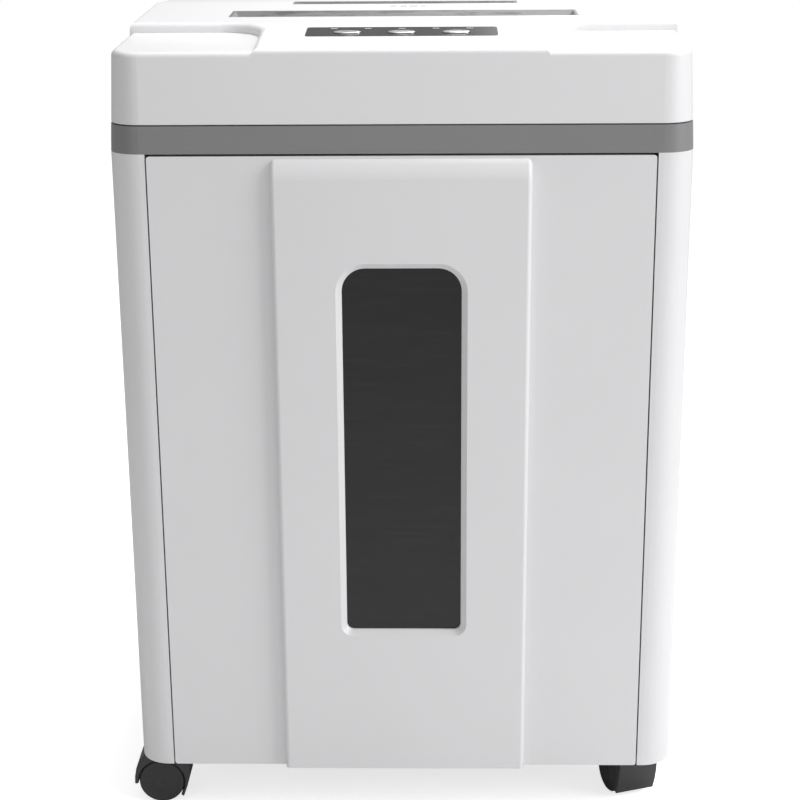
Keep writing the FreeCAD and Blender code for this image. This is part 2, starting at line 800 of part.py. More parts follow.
def under_tray():
    """Tray that carries the cutter block, open under the cutters for the shreds."""
    x_low, x_high, y_low, y_high = drive_room()
    width = x_high - x_low
    depth = y_high - y_low
    outer = box("tray_outer", width, depth, tray_depth, x_low, y_low, tray_z)
    inner_width = width - tray_wall * 2
    inner_depth = depth - tray_wall * 2
    inner = box("tray_inner", inner_width, inner_depth, tray_depth)
    put(inner, x_low + tray_wall, y_low + tray_wall, tray_z + tray_wall)
    exit_y = front_plane + feed_from
    exit_width = (plate_inner - 3) * 2
    exit_depth = cutter_centre + cutter_radius * 2
    outlet = centred_box("tray_exit", exit_width, exit_depth, tray_wall, 0, exit_y, tray_z)
    node(cut("tray_body", outer, inner, outlet), "under_tray")


def deck_under(along):
    """Slope and height of the deck at a distance back from the front."""
    if along.number < knee_from.number:
        return deck_slope, deck_z + slope_rise * along
    return crest_slope, knee_z + crest_rise * (along - knee_from)


def on_deck(thing, across, along, lift, shift=0):
    """Place an object square to the deck: across, distance back, above it, moved up the slope."""
    slope, height = deck_under(along)
    tilt(thing, slope)
    sine = angle_function("sin", slope)
    cosine = angle_function("cos", slope)
    y = front_plane + along + cosine * shift - sine * lift
    z = height + sine * shift + cosine * lift
    return put(thing, across, y, z)


def top_cover():
    """Drafted hood with a sloping deck, lower front shoulders and openings for the insets."""
    low, high = hood_blocks("cover", 0)
    dress(low, "Fillet", "shoulder_rounding", low.Tip, shoulder_round, is_shoulder_rim)
    dress(high, "Fillet", "deck_rounding", high.Tip, deck_round, is_deck_rim)
    reach = cover_wall + 4
    middle = fascia_from + fascia_depth / 2
    gap = fascia_gap * 2
    seat = (fascia_width + gap, fascia_depth + gap, fascia_radius)
    ledge = fascia_ledge * 2
    opening = (fascia_width - ledge, fascia_depth - ledge, fascia_radius)
    wall = (throat_wall + fascia_gap) * 2
    tools = [
        *hood_blocks("room", cover_wall),
        deck_prism("fascia_seat", *seat, middle, -fascia_inlay, reach),
        deck_prism("fascia_opening", *opening, middle, -reach, reach * 2),
        deck_prism("feed_opening", feed_width + wall, feed_depth + wall, 0.2, feed_from, -reach, reach * 2),
        deck_prism("disc_opening", disc_width + wall, disc_depth + wall, 0.2, disc_from, -reach, reach * 2),
    ]
    shell = cut("cover_shell", fuse("cover_solid", low, high), *tools)
    switch_x, fitting_z = fitting_place()
    back_y = back_plane - draft_rise * (fitting_z - cabinet_top)
    case = centred_box("switch_hole", 20.4, 20, 14.4, switch_x, back_y, fitting_z - 7.2)
    inlet = cylinder("inlet_hole", 6.2, 20, -switch_x, back_y - 10, fitting_z, "y")
    node(cut("cover_body", fuse("cover_and_bosses", shell, *cover_bosses()), case, inlet), "top_cover")


def cover_bosses():
    """Four screw bosses from the underside of the hood down to the casing floor."""
    front_y = middle_y - boss_spread
    rear_y = middle_y + boss_spread
    front_top = shoulder_z + shoulder_rise * (front_y - front_plane) - cover_wall / 2
    rear_top = crest_z - rear_rise * (rear_y - front_plane - deck_length) - cover_wall / 2
    bosses = []
    for side in (-1, 1):
        for name, y, top in (("front", front_y, front_top), ("rear", rear_y, rear_top)):
            name = f"cover_boss_{name}{side + 1}"
            bosses.append(cylinder(name, boss_radius, top - floor_z, side * boss_across, y, floor_z))
    return bosses


def fitting_place():
    """Where the rocker sits on the back, and the cord inlet at the same height."""
    return cabinet_width / 2 - fitting_inset, head_base + fitting_rise


def hood_blocks(name, inset):
    """The low block up to the shoulders and the high block up to the deck, drawn in by the inset."""
    overrun = 20
    above = crest_z + 30
    start_y = front_plane - overrun
    end_y = back_plane + overrun
    crest_y = front_plane + deck_length
    ridge_y = front_plane + notch_depth + overrun
    ridge_z = shoulder_z + shoulder_rise * (notch_depth + overrun)
    rear_drop = 8
    shoulders = [
        (start_y, shoulder_z - shoulder_rise * overrun),
        (ridge_y, ridge_z),
        (end_y, shoulder_z - rear_drop),
    ]
    deck = [(start_y, deck_z - slope_rise * overrun), (front_plane + knee_from, knee_z), (crest_y, crest_z)]
    deck += [(end_y, crest_z - rear_rise * (end_y - crest_y))]
    low = hood_block(name + "_low", inset, shoulders, above)
    high = hood_block(name + "_high", inset, deck, above)
    for side in (-1, 1):
        notch = sketch(high, f"{name}_notch_outline{side + 1}", y=front_plane, z=cabinet_top)
        add_notch(notch, side, inset, overrun)
        pocket(high, f"{name}_notch{side + 1}", notch, above - cabinet_top, backwards=True)
    return low, high


def hood_block(name, inset, profile, above):
    """A drafted block with the head's outline, its top cut to the profile lowered by the inset."""
    block = body(name)
    shrink = (draft_rise * (head_base - cabinet_top) + inset) * 2
    outline = sketch(block, name + "_outline", y=middle_y, z=head_base)
    rounded_outline(outline, "cover", cabinet_width - shrink, cabinet_depth - shrink, corner_radius - inset)
    pad(block, name + "_block", outline, crest_z - head_base + 5, draft=-head_draft)
    side_view = sketch(block, name + "_profile", "YZ_Plane")
    points = [(y, z - inset) for y, z in profile]
    points += [(profile[-1][0], above), (profile[0][0], above)]
    polygon(side_view, "top", points)
    pocket(block, name + "_top", side_view, cabinet_width + 20, both_ways=True)
    return block


def add_notch(made, side, inset, overrun):
    """Plan of the material above one shoulder, rounded where it meets the raised deck."""
    half = tongue_width / 2 - inset
    outer = cabinet_width / 2 + overrun
    depth = notch_depth + inset
    round_in = notch_radius + inset
    near = side * half.number
    far = side * outer.number
    back = depth.number
    bend = round_in.number
    centre = Vector(near + side * bend, back - bend, 0)
    low, high = (math.pi / 2, math.pi) if side > 0 else (0, math.pi / 2)
    curve = made.addGeometry(Part.ArcOfCircle(Part.Circle(centre, Vector(0, 0, 1), bend), low, high))
    at_back, at_side = (1, 2) if side > 0 else (2, 1)
    inner = made.addGeometry(Part.LineSegment(Vector(near, back - bend, 0), Vector(near, -overrun, 0)))
    front = made.addGeometry(Part.LineSegment(Vector(near, -overrun, 0), Vector(far, -overrun, 0)))
    edge = made.addGeometry(Part.LineSegment(Vector(far, -overrun, 0), Vector(far, back, 0)))
    rear = made.addGeometry(Part.LineSegment(Vector(far, back, 0), Vector(near + side * bend, back, 0)))
    made.addConstraint(Sketcher.Constraint("Tangent", curve, at_side, inner, 1))
    made.addConstraint(Sketcher.Constraint("Coincident", inner, 2, front, 1))
    made.addConstraint(Sketcher.Constraint("Coincident", front, 2, edge, 1))
    made.addConstraint(Sketcher.Constraint("Coincident", edge, 2, rear, 1))
    made.addConstraint(Sketcher.Constraint("Tangent", rear, 2, curve, at_back))
    made.addConstraint(Sketcher.Constraint("Vertical", inner))
    made.addConstraint(Sketcher.Constraint("Horizontal", front))
    made.addConstraint(Sketcher.Constraint("Vertical", edge))
    made.addConstraint(Sketcher.Constraint("Horizontal", rear))
    picks = (-1, 1, inner, 2) if side > 0 else (inner, 2, -1, 1)
    limit(made, "tongue", "DistanceX", *picks, amount=half)
    picks = (-1, 1, edge, 1) if side > 0 else (edge, 1, -1, 1)
    limit(made, "outside", "DistanceX", *picks, amount=outer)
    limit(made, "before", "DistanceY", inner, 2, -1, 1, amount=overrun)
    limit(made, "back", "DistanceY", -1, 1, rear, 2, amount=depth)
    limit(made, "bend", "Radius", curve, amount=round_in)


def deck_prism(name, width, depth, radius, along, low, tall):
    """A rounded block square to the deck, used to open the cover for its insets."""
    block = body(name)
    on_deck(block, 0, along, low)
    outline = sketch(block, name + "_outline")
    rounded_outline(outline, "edge", width, depth, radius)
    pad(block, name + "_pad", outline, tall)
    return block


def edge_middle(edge):
    return edge.valueAt((edge.FirstParameter + edge.LastParameter) / 2)


def deck_height(y):
    """Height of the deck above a point of the depth: front slope, gentler slope, rear slope."""
    along = y - front_plane.number
    if along > deck_length.number:
        return crest_z.number - rear_rise.number * (along - deck_length.number)
    return deck_under(Size("", along))[1].number


def is_deck_rim(edge):
    point = edge_middle(edge)
    along = point.y - front_plane.number
    bend = min(abs(along - deck_length.number), abs(along - knee_from.number))
    crosses = edge.BoundBox.YLength < 0.01 and bend < 0.01
    return abs(point.z - deck_height(point.y)) < 0.02 and not crosses


def is_shoulder_rim(edge):
    point = edge_middle(edge)
    along = point.y - front_plane.number
    on_shoulder = abs(point.z - shoulder_z.number - shoulder_rise.number * along) < 0.02
    return on_shoulder and along < notch_depth.number + 20


def funnel(name, top_width, top_depth, foot_width, foot_depth, drop, along, lift):
    """A tapering block that hangs from the deck, wide end up."""
    wedge = doc.addObject("Part::Wedge", name)
    bind(wedge, Xmin=-as_size(foot_width) / 2, Xmax=as_size(foot_width) / 2)
    bind(wedge, Zmin=-as_size(foot_depth) / 2, Zmax=as_size(foot_depth) / 2)
    bind(wedge, X2min=-as_size(top_width) / 2, X2max=as_size(top_width) / 2)
    bind(wedge, Z2min=-as_size(top_depth) / 2, Z2max=as_size(top_depth) / 2)
    bind(wedge, Ymin=-as_size(drop), Ymax=0)
    on_deck(wedge, 0, along, lift)
    slope = deck_under(along)[0]
    wedge.Placement = Placement(Vector(), Rotation(Vector(1, 0, 0), 90 + slope.number))
    wedge.setExpression("Placement.Rotation.Angle", f"90 deg + {slope.text} * 1 deg")
    return wedge


def deck_box(name, width, depth, height, along, lift):
    """A box centred across the deck whose top is a distance above it."""
    solid = doc.addObject("Part::Box", name)
    bind(solid, Length=width, Width=depth, Height=height)
    return on_deck(solid, -as_size(width) / 2, along, lift - height, -as_size(depth) / 2)


def feed_throat():
    """Funnel that leads sheets from the deck down between the cutters."""
    wall = throat_wall * 2
    lower_width = feed_throat_width + wall
    lower_gap = feed_throat_gap + wall
    mouth = (feed_width + wall, feed_depth + wall)
    outer = funnel("feed_outer", *mouth, lower_width, lower_gap, feed_bevel, feed_from, 0)
    neck = deck_box("feed_neck", lower_width, lower_gap, feed_drop, feed_from, 0)
    throat = (feed_throat_width, feed_throat_gap)
    inner = funnel("feed_inner", feed_width, feed_depth, *throat, feed_bevel, feed_from, 0)
    slot = deck_box("feed_slot", feed_throat_width, feed_throat_gap, feed_drop + 2, feed_from, 1)
    node(cut("feed_body", fuse("feed_walls", outer, neck), inner, slot), "feed_throat")


def disc_throat():
    """Shallow slot and slanting chute that lead a disc or card to the same cutters."""
    wall = throat_wall * 2
    lower_width = disc_throat_width + wall
    lower_gap = disc_throat_gap + wall
    depth = disc_depth + wall
    outer = funnel("disc_outer", disc_width + wall, depth, lower_width, lower_gap, disc_bevel, disc_from, 0)
    throat = (disc_throat_width, disc_throat_gap)
    inner = funnel("disc_inner", disc_width, disc_depth, *throat, disc_bevel, disc_from, 0)
    chute = disc_chute("disc_chute", lower_width, lower_gap, disc_chute_length, 0)
    passage = disc_chute("disc_passage", *throat, disc_chute_length + 4, 2)
    entry = deck_box("disc_entry", *throat, disc_bevel + 4, disc_from, 0)
    node(cut("disc_body", fuse("disc_walls", outer, chute), inner, passage, entry), "disc_throat")


def disc_chute(name, width, gap, length, above):
    solid = doc.addObject("Part::Box", name)
    bind(solid, Length=width, Width=gap, Height=length)
    solid.Placement = Placement(Vector(), Rotation(Vector(1, 0, 0), -disc_chute_angle.number))
    solid.setExpression("Placement.Rotation.Angle", f"0 deg - {disc_chute_angle.text} * 1 deg")
    sine = angle_function("sin", disc_chute_angle)
    cosine = angle_function("cos", disc_chute_angle)
    start_y = front_plane + disc_from
    start_z = deck_under(disc_from)[1] - disc_bevel - 2
    reach = as_size(length) - above
    half = as_size(gap) / 2
    y = start_y - half * cosine - reach * sine
    z = start_z + half * sine - reach * cosine
    return put(solid, -as_size(width) / 2, y, z)


# ---------------------------------------------------------------- controls

def control_fascia():
    """Glossy inset with three button slots, five light windows and pegs for the board."""
    middle = fascia_from + fascia_depth / 2
    plate = body("control_fascia")
    on_deck(plate, 0, middle, -fascia_inlay)
    outline = sketch(plate, "fascia_outline")
    rounded_outline(outline, "plate", fascia_width, fascia_depth, fascia_radius - fascia_gap)
    pad(plate, "fascia_plate", outline, fascia_thick)
    pegs = sketch(plate, "peg_circles")
    for index, (across, away) in enumerate(((-1, -1), (1, -1), (-1, 1), (1, 1))):
        x = (fascia_width / 2 - fascia_ledge * 3) * across
        y = (fascia_depth / 2 - fascia_ledge * 2) * away
        add_hole(pegs, f"peg{index}", x, y, 1.5)
    pad(plate, "pegs", pegs, board_drop - fascia_inlay, backwards=True)
    lean = angle_function("cos", deck_slope)
    for index in range(3):
        place = button_pitch * (index - 1)
        slot = sketch(plate, f"slot_outline{index}", x=place, y=(button_from - middle) / lean)
        width = button_width + button_gap * 2
        depth = button_depth + button_gap * 2
        rounded_outline(slot, "slot", width, depth, depth * 0.49)
        pocket(plate, f"button_slot{index}", slot, fascia_thick, backwards=True)
    for index in range(5):
        place = light_pitch * (index - 2)
        window = sketch(plate, f"light_outline{index}", x=place, y=(light_from - middle) / lean)
        rounded_outline(window, "light", light_width, light_depth, 0.3)
        pocket(plate, f"light_window{index}", window, fascia_thick, backwards=True)
    node(plate, "control_fascia")


def button(label, index):
    """Oval push button with a retaining flange and a stem over its switch."""
    cap = body(label)
    on_deck(cap, button_pitch * (index - 1), button_from, -fascia_inlay)
    outline = sketch(cap, label + "_outline")
    rounded_outline(outline, "cap", button_width, button_depth, button_depth * 0.49)
    top = pad(cap, label + "_cap", outline, fascia_thick + button_proud)
    dress(cap, "Fillet", label + "_edge", top, 0.7, is_cap_rim)
    flange = sketch(cap, label + "_flange_outline", z=-0.1)
    rounded_outline(flange, "flange", button_width + 2, button_depth + 2, 3)
    neck = sketch(cap, label + "_neck_outline")
    rounded_outline(neck, "neck", button_width - 2, button_depth - 2, 2)
    pad(cap, label + "_neck", neck, 0.1, backwards=True)
    pad(cap, label + "_flange", flange, 1, backwards=True)
    stem = sketch(cap, label + "_stem_circle", z=-1.1)
    add_hole(stem, "stem", 0, 0, 2)
    pad(cap, label + "_stem", stem, 2, backwards=True)
    node(cap, label)


def is_cap_rim(edge):
    return abs(edge.BoundBox.ZMin - (fascia_thick.number + button_proud.number)) < 0.001


def indicator_lights():
    """Five light guides that fill the small windows of the fascia."""
    guides = []
    for index in range(5):
        guide = doc.addObject("Part::Box", f"light_guide{index}")
        bind(guide, Length=light_width - 0.4, Width=light_depth - 0.4, Height=fascia_thick + 3)
        x = light_pitch * (index - 2) - (light_width - 0.4) / 2
        guides.append(on_deck(guide, x, light_from, -fascia_inlay - 3, -(light_depth - 0.4) / 2))
    node(group("light_guides", *guides), "indicator_lights")


def control_board():
    """Circuit board on the fascia pegs, with a push switch under each button."""
    width = fascia_width - fascia_ledge * 2 - 4
    depth = fascia_depth - fascia_ledge * 2 - 1
    middle = fascia_from + fascia_depth / 2
    switches = [deck_box("board_sheet", width, depth, board_thick, middle, -board_drop)]
    height = board_drop - fascia_inlay - 3.1 - button_travel - 0.1
    for index in range(3):
        switch = doc.addObject("Part::Box", f"push_switch{index}")
        bind(switch, Length=6, Width=6, Height=height)
        x = button_pitch * (index - 1) - 3
        switches.append(on_deck(switch, x, button_from, -board_drop, -3))
    node(group("board_and_switches", *switches), "control_board")


# ---------------------------------------------------------------- cutter block

def side_plate(label, side, low_y, high_y, holes):
    """Steel cheek that carries the bushes; holes are given as (y, z, radius)."""
    x = plate_inner if side > 0 else -plate_outer
    low_z = tray_z + tray_wall
    plate = box(label + "_sheet", plate_thick, high_y - low_y, cutter_z + 30 - low_z, x, low_y, low_z)
    bores = []
    for index, (y, z, radius) in enumerate(holes):
        bores.append(cylinder(f"{label}_hole{index}", radius, plate_thick, x, y, z, "x"))
    node(cut(label + "_body", plate, *bores), label)


def side_plates():
    journals = [(front_axis_y, cutter_z, bush_radius), (rear_axis_y, cutter_z, bush_radius)]
    low_y = front_axis_y - cutter_radius - 4
    high_y = rear_axis_y + cutter_radius + 4
    side_plate("side_plate_left", -1, low_y, high_y, journals)
    first_y, first_z, second_y, second_z = idler_places()
    drive = [(motor_y, motor_z, motor_shaft_radius + 5)]
    axle_hole = stem_radius - 1
    drive.append((as_size(first_y), as_size(first_z), axle_hole))
    drive.append((as_size(second_y), as_size(second_z), axle_hole))
    side_plate("side_plate_right", 1, motor_y - motor_radius, high_y, journals + drive)


def tie_bars():
    """Four bars that space the cheeks, with the screw heads outside them."""
    bars = []
    places = [(-1, -tie_low), (1, -tie_low), (-1, tie_high), (1, tie_high)]
    middle = front_plane + feed_from
    for index, (side, rise) in enumerate(places):
        y = middle + side * tie_spread
        z = cutter_z + rise
        bars.append(cylinder(f"tie_bar{index}", tie_radius, plate_inner * 2, -plate_inner, y, z, "x"))
        for end in (-1, 1):
            x = plate_outer if end > 0 else -plate_outer - 2
            bars.append(cylinder(f"tie_screw{index}{end + 1}", 3.5, 2, x, y, z, "x"))
    node(group("tie_bar_set", *bars), "tie_bars")


def shaft_bushes():
    """Four flanged bronze bushes, one at each end of each cutter shaft."""
    bushes = []
    for index, y in enumerate((front_axis_y, rear_axis_y)):
        for end in (-1, 1):
            name = f"bush{index}{end + 1}"
            x = plate_inner if end > 0 else -plate_outer
            sleeve = cylinder(name + "_sleeve", bush_radius, plate_thick, x, y, cutter_z, "x")
            rim_x = plate_outer if end > 0 else -plate_outer - 1
            rim = cylinder(name + "_rim", bush_radius + 2, 1, rim_x, y, cutter_z, "x")
            bore_x = plate_inner - 1 if end > 0 else -plate_outer - 2
            bore_radius = journal_radius + running_gap
            bore = cylinder(name + "_bore", bore_radius, plate_thick + 3, bore_x, y, cutter_z, "x")
            bushes.append(cut(name, fuse(name + "_outer", sleeve, rim), bore))
    node(group("bush_set", *bushes), "shaft_bushes")


def cutter_shaft(label, y, left, right):
    """Hexagonal bar with round journals that run in the bushes."""
    hexagon = doc.addObject("Part::Prism", label + "_hex")
    hexagon.Polygon = 6
    bind(hexagon, Circumradius=hex_flats / math.sqrt(3), Height=(plate_inner - 1) * 2)
    turn(hexagon, Vector(0, 1, 0), 90)
    put(hexagon, -plate_inner + 1, y, cutter_z)
    journal = cylinder(label + "_journal", journal_radius, right + left, -left, y, cutter_z, "x")
    core = centred_box(label + "_room", (plate_inner - 1) * 2, journal_radius * 3, journal_radius * 3)
    put(core, -plate_inner + 1, y - journal_radius * 1.5, cutter_z - journal_radius * 1.5)
    node(fuse(label + "_bar", cut(label + "_ends", journal, core), hexagon), label)


def cutter_disc_shape(thickness):
    """One cutter: a hooked rim, a spacer boss on one side and a hexagonal bore."""
    radius = cutter_radius.number
    hooks = 3
    rim = Part.makeCylinder(radius, thickness)
    spacer = Part.makeCylinder(spacer_radius.number, cutter_pitch.number)
    disc = rim.fuse(spacer)
    for index in range(hooks):
        angle = index * 360 / hooks
        tip = Vector(radius + 1, 0, 0)
        inner = Vector(radius - 4, 0, 0)
        heel = Vector((radius + 0.5) * math.cos(0.5), (radius + 0.5) * math.sin(0.5), 0)
        wedge = Part.Face(Part.makePolygon([inner, tip, heel, inner])).extrude(Vector(0, 0, thickness))
        wedge.rotate(Vector(), Vector(0, 0, 1), angle)
        disc = disc.cut(wedge)
    corners = []
    circumradius = (hex_flats.number + 0.1) / math.sqrt(3)
    for index in range(7):
        angle = index * math.pi / 3
        corners.append(Vector(circumradius * math.cos(angle), circumradius * math.sin(angle), 0))
    bore = Part.Face(Part.makePolygon(corners)).extrude(Vector(0, 0, cutter_pitch.number))
    return disc.cut(bore)


def cutter_discs(label, y, start, count, mirrored):
    """A row of cutters threaded on one shaft, each turned a little from the last."""
    disc = cutter_disc_shape(cutter_thick.number)
    row = []
    for index in range(count):
        piece = disc.copy()
        piece.rotate(Vector(), Vector(0, 0, 1), index % 6 * 60)
        if mirrored:
            piece.rotate(Vector(), Vector(0, 0, 1), 30 * 2)
        piece.translate(Vector(0, 0, start + index * cutter_pitch.number))
        row.append(piece)
    bundle = doc.addObject("Part::Feature", label + "_row")
    bundle.Shape = Part.makeCompound(row)
    turn(bundle, Vector(0, 1, 0), 90)
    put(bundle, 0, y, cutter_z)
    node(bundle, label)


def cutter_rows():
    pitch = cutter_pitch.number
    count = int((plate_inner.number - 4) * 2 / pitch)
    start = -count * pitch / 2
    cutter_discs("cutter_discs_front", front_axis_y, start, count, False)
    cutter_discs("cutter_discs_rear", rear_axis_y, start + pitch / 2, count - 1, True)


def stripper(label, side):
    """Comb whose fingers reach between the cutters and keep the shreds off the shaft."""
    pitch = cutter_pitch.number
    count = int((plate_inner.number - 4) * 2 / pitch)
    start = -count * pitch / 2
    axis_y = rear_axis_y if side > 0 else front_axis_y
    rail_near = axis_y + side * (cutter_radius + 0.8)
    rail_y = rail_near if side > 0 else rail_near - 1.6
    rail = box(label + "_rail", plate_inner * 2, 1.6, 24, -plate_inner, rail_y, cutter_z - 12)
    reach = cutter_radius - spacer_radius + 0.3
    finger_y = rail_near - reach if side > 0 else rail_near
    gap = cutter_pitch - cutter_thick
    first = start + (pitch / 2 if side > 0 else 0)
    fingers = []
    for index in range(count - 1):
        x = first + index * cutter_pitch + cutter_thick + 0.4
        fingers.append(box(f"{label}_finger{index}", gap - 0.8, reach, 10, x, finger_y, cutter_z - 5))
    node(fuse(label + "_comb", rail, *fingers), label)


# ---------------------------------------------------------------- gear train

def involute(angle):
    return math.tan(angle) - angle


def gear_shape(teeth, module, width, bore, phase):
    """Spur gear with involute flanks, its first tooth turned to the phase angle."""
    pitch_radius = teeth * module / 2
    base_radius = pitch_radius * math.cos(math.radians(20))
    tip_radius = pitch_radius + 0.8 * module
    root_radius = pitch_radius - 1.15 * module
    half_tooth = (math.pi * module / 2 - gear_backlash.number) / 2 / pitch_radius
    half_base = half_tooth + involute(math.radians(20))
    flank = []
    steps = 5
    start_radius = max(base_radius, root_radius)
    for step in range(steps):
        radius = start_radius + (tip_radius - start_radius) * step / (steps - 1)
        flank.append((radius, half_base - involute(math.acos(min(1.0, base_radius / radius)))))
    points = []
    for tooth in range(teeth):
        centre = phase + tooth * 2 * math.pi / teeth
        outline = [(root_radius, centre - half_base - 0.01)]
        outline += [(radius, centre - half) for radius, half in flank]
        outline += [(radius, centre + half) for radius, half in reversed(flank)]
        outline += [(root_radius, centre + half_base + 0.01)]
        for radius, angle in outline:
            points.append(Vector(radius * math.cos(angle), radius * math.sin(angle), 0))
    points.append(points[0])
    blank = Part.Face(Part.makePolygon(points)).extrude(Vector(0, 0, width))
    return blank.cut(Part.makeCylinder(bore, width))


def add_gear(name, x, y, z, shapes):
    """Place gear shapes drawn about the origin on a shaft along X."""
    gear = doc.addObject("Part::Feature", name)
    joined = shapes[0]
    for shape in shapes[1:]:
        joined = joined.fuse(shape)
    gear.Shape = joined.removeSplitter()
    frame = Rotation(Vector(0, 1, 0), Vector(0, 0, 1), Vector(1, 0, 0), "ZXY")
    gear.Placement = Placement(Vector(x, y, z), frame)
    return gear


def mesh_phase(driver_phase, driver_teeth, driven_teeth, direction):
    """Turn of the driven gear that puts a gap opposite the driver's tooth."""
    lead = (driver_phase - direction) * driver_teeth + math.pi
    return direction + math.pi - lead / driven_teeth


def circle_crossing(first, first_radius, second, second_radius, side):
    """Where two circles in the YZ plane cross."""
    span_y = second[0] - first[0]
    span_z = second[1] - first[1]
    span = math.hypot(span_y, span_z)
    along = (first_radius ** 2 - second_radius ** 2 + span ** 2) / (2 * span)
    off = math.sqrt(first_radius ** 2 - along ** 2) * side
    y = first[0] + (along * span_y - off * span_z) / span
    z = first[1] + (along * span_z + off * span_y) / span
    return y, z


stages = {
    "motor": (12, 60, motor_module.number),
    "middle": (14, 50, middle_module.number),
    "final": (14, 44, final_module.number),
}


def stage_distance(name):
    driver, driven, module = stages[name]
    return (driver + driven) * module / 2


def idler_places():
    """Axes of the two idler gears between the motor and the front cutter shaft."""
    lean = math.radians(final_lean.number)
    second_y = front_axis_y.number + stage_distance("final") * math.cos(lean)
    second_z = cutter_z.number + stage_distance("final") * math.sin(lean)
    motor_place = (motor_y.number, motor_z.number)
    second_place = (second_y, second_z)
    reach = (stage_distance("motor"), stage_distance("middle"))
    first_y, first_z = circle_crossing(motor_place, reach[0], second_place, reach[1], -1)
    return first_y, first_z, second_y, second_z


def gear_train():
    """Motor pinion, two stepped idlers and the wheel on the front cutter shaft."""
    width = gear_width.number
    plane = plate_outer.number + 3
    first_y, first_z, second_y, second_z = idler_places()
    axle = stem_radius.number - 1
    places = {
        "motor": (motor_y.number, motor_z.number),
        "first": (first_y, first_z),
        "second": (second_y, second_z),
        "front": (front_axis_y.number, cutter_z.number),
    }

    def heading(start, end):
        return math.atan2(places[end][1] - places[start][1], places[end][0] - places[start][0])

    def phase(start_phase, stage, start, end):
        driver, driven, _ = stages[stage]
        return mesh_phase(start_phase, driver, driven, heading(start, end))

    first_phase = phase(0.0, "motor", "motor", "first")
    second_phase = phase(first_phase, "middle", "first", "second")
    final_phase = phase(second_phase, "final", "second", "front")
    pinion_bore = motor_shaft_radius.number - 1
    pinion = gear_shape(stages["motor"][0], stages["motor"][2], width, pinion_bore, 0.0)
    gear = add_gear("pinion_wheel", plane, *places["motor"], [pinion])
    node(gear, "motor_pinion")
    bore = axle + running_gap.number
    wheel = gear_shape(stages["motor"][1], stages["motor"][2], width, bore, first_phase)
    nose = gear_shape(stages["middle"][0], stages["middle"][2], width + 2, bore, first_phase)
    nose.translate(Vector(0, 0, width))
    node(add_gear("first_wheel", plane, *places["first"], [wheel, nose]), "idler_gear_first")
    wheel = gear_shape(stages["middle"][1], stages["middle"][2], width, bore, second_phase)
    nose = gear_shape(stages["final"][0], stages["final"][2], width + 2, bore, second_phase)
    nose.translate(Vector(0, 0, width))
    node(add_gear("second_wheel", plane + width + 1, *places["second"], [wheel, nose]), "idler_gear_second")
    wheel = gear_shape(stages["final"][1], stages["final"][2], width, journal_radius.number, final_phase)
    node(add_gear("final_wheel", plane + width * 2 + 2, *places["front"], [wheel]), "drive_gear")
    axles = []
    for index, name in enumerate(("first", "second")):
        y, z = places[name]
        axles.append(cylinder(f"idler_axle{index}", axle, 34, plate_inner, y, z, "x"))
    node(group("idler_axle_pair", *axles), "idler_axles")


def sync_gears():
    """Equal gears on the left that keep the two cutter shafts in step."""
    teeth = 24
    module = cutter_centre.number / teeth
    width = gear_width.number
    x = -plate_outer.number - 3 - width
    rear_phase = mesh_phase(0.0, teeth, teeth, 0.0)
    front = gear_shape(teeth, module, width, journal_radius.number, 0.0)
    rear = gear_shape(teeth, module, width, journal_radius.number, rear_phase)
    node(add_gear("sync_front", x, front_axis_y.number, cutter_z.number, [front]), "sync_gear_front")
    node(add_gear("sync_rear", x, rear_axis_y.number, cutter_z.number, [rear]), "sync_gear_rear")


def gear_cover():
    """Dust cover over the gear train, open towards the right side plate."""
    low_y = motor_y - 13
    high_y = front_axis_y + 31
    low_z = tray_z + tray_wall
    width = gear_width * 3 + 16
    height = cutter_z + 43 - low_z
    outer = box("gear_cover_outer", width, high_y - low_y, height, plate_outer, low_y, low_z)
    inner = box("gear_cover_inner", width - 1.5, high_y - low_y - 3, height - 3)
    put(inner, plate_outer, low_y + 1.5, low_z + 1.5)
    relief = box("gear_cover_relief", 4, 8, 40, plate_outer, high_y - 4, cutter_z - 20)
    node(cut("gear_cover_body", outer, inner, relief), "gear_cover")


# ---------------------------------------------------------------- motor and electrics

def motor():
    """Can, wound armature on its shaft and the cradle that it lies in."""
    left = plate_inner - motor_length
    outer = cylinder("can_outer", motor_radius, motor_length, left, motor_y, motor_z, "x")
    inner = cylinder("can_inner", motor_radius - motor_wall, motor_length - motor_wall * 2)
    turn(inner, Vector(0, 1, 0), 90)
    put(inner, left + motor_wall, motor_y, motor_z)
    shaft_hole = motor_shaft_radius + running_gap
    bore = cylinder("can_bore", shaft_hole, motor_length, left + motor_wall * 2, motor_y, motor_z, "x")
    node(cut("can_body", outer, inner, bore), "motor_can")
    field_radius = motor_radius - motor_wall
    field_outer = cylinder("field_outer", field_radius, 56, left + 24, motor_y, motor_z, "x")
    field_inner = cylinder("field_inner", 22, 56, left + 24, motor_y, motor_z, "x")
    node(cut("field_body", field_outer, field_inner), "motor_field")
    shaft_left = left + motor_wall + 1
    nose_radius = motor_shaft_radius - 1
    shaft = cylinder("motor_shaft", motor_shaft_radius, motor_length + 1, shaft_left, motor_y, motor_z, "x")
    nose = cylinder("motor_nose", nose_radius, gear_width + 5, plate_inner, motor_y, motor_z, "x")
    core = cylinder("motor_core", 20, 52, left + 26, motor_y, motor_z, "x")
    commutator = cylinder("commutator", 11, 14, left + 7, motor_y, motor_z, "x")
    node(fuse("rotor", shaft, nose, core, commutator), "motor_armature")
    low = tray_z + tray_wall
    half_depth = motor_radius * 0.8
    block = box("cradle_block", 14, half_depth * 2, motor_z - low - 6, left + 30, motor_y - half_depth, low)
    hollow = cylinder("cradle_hollow", motor_radius, 14, left + 30, motor_y, motor_z, "x")
    node(cut("cradle_body", block, hollow), "motor_cradle")


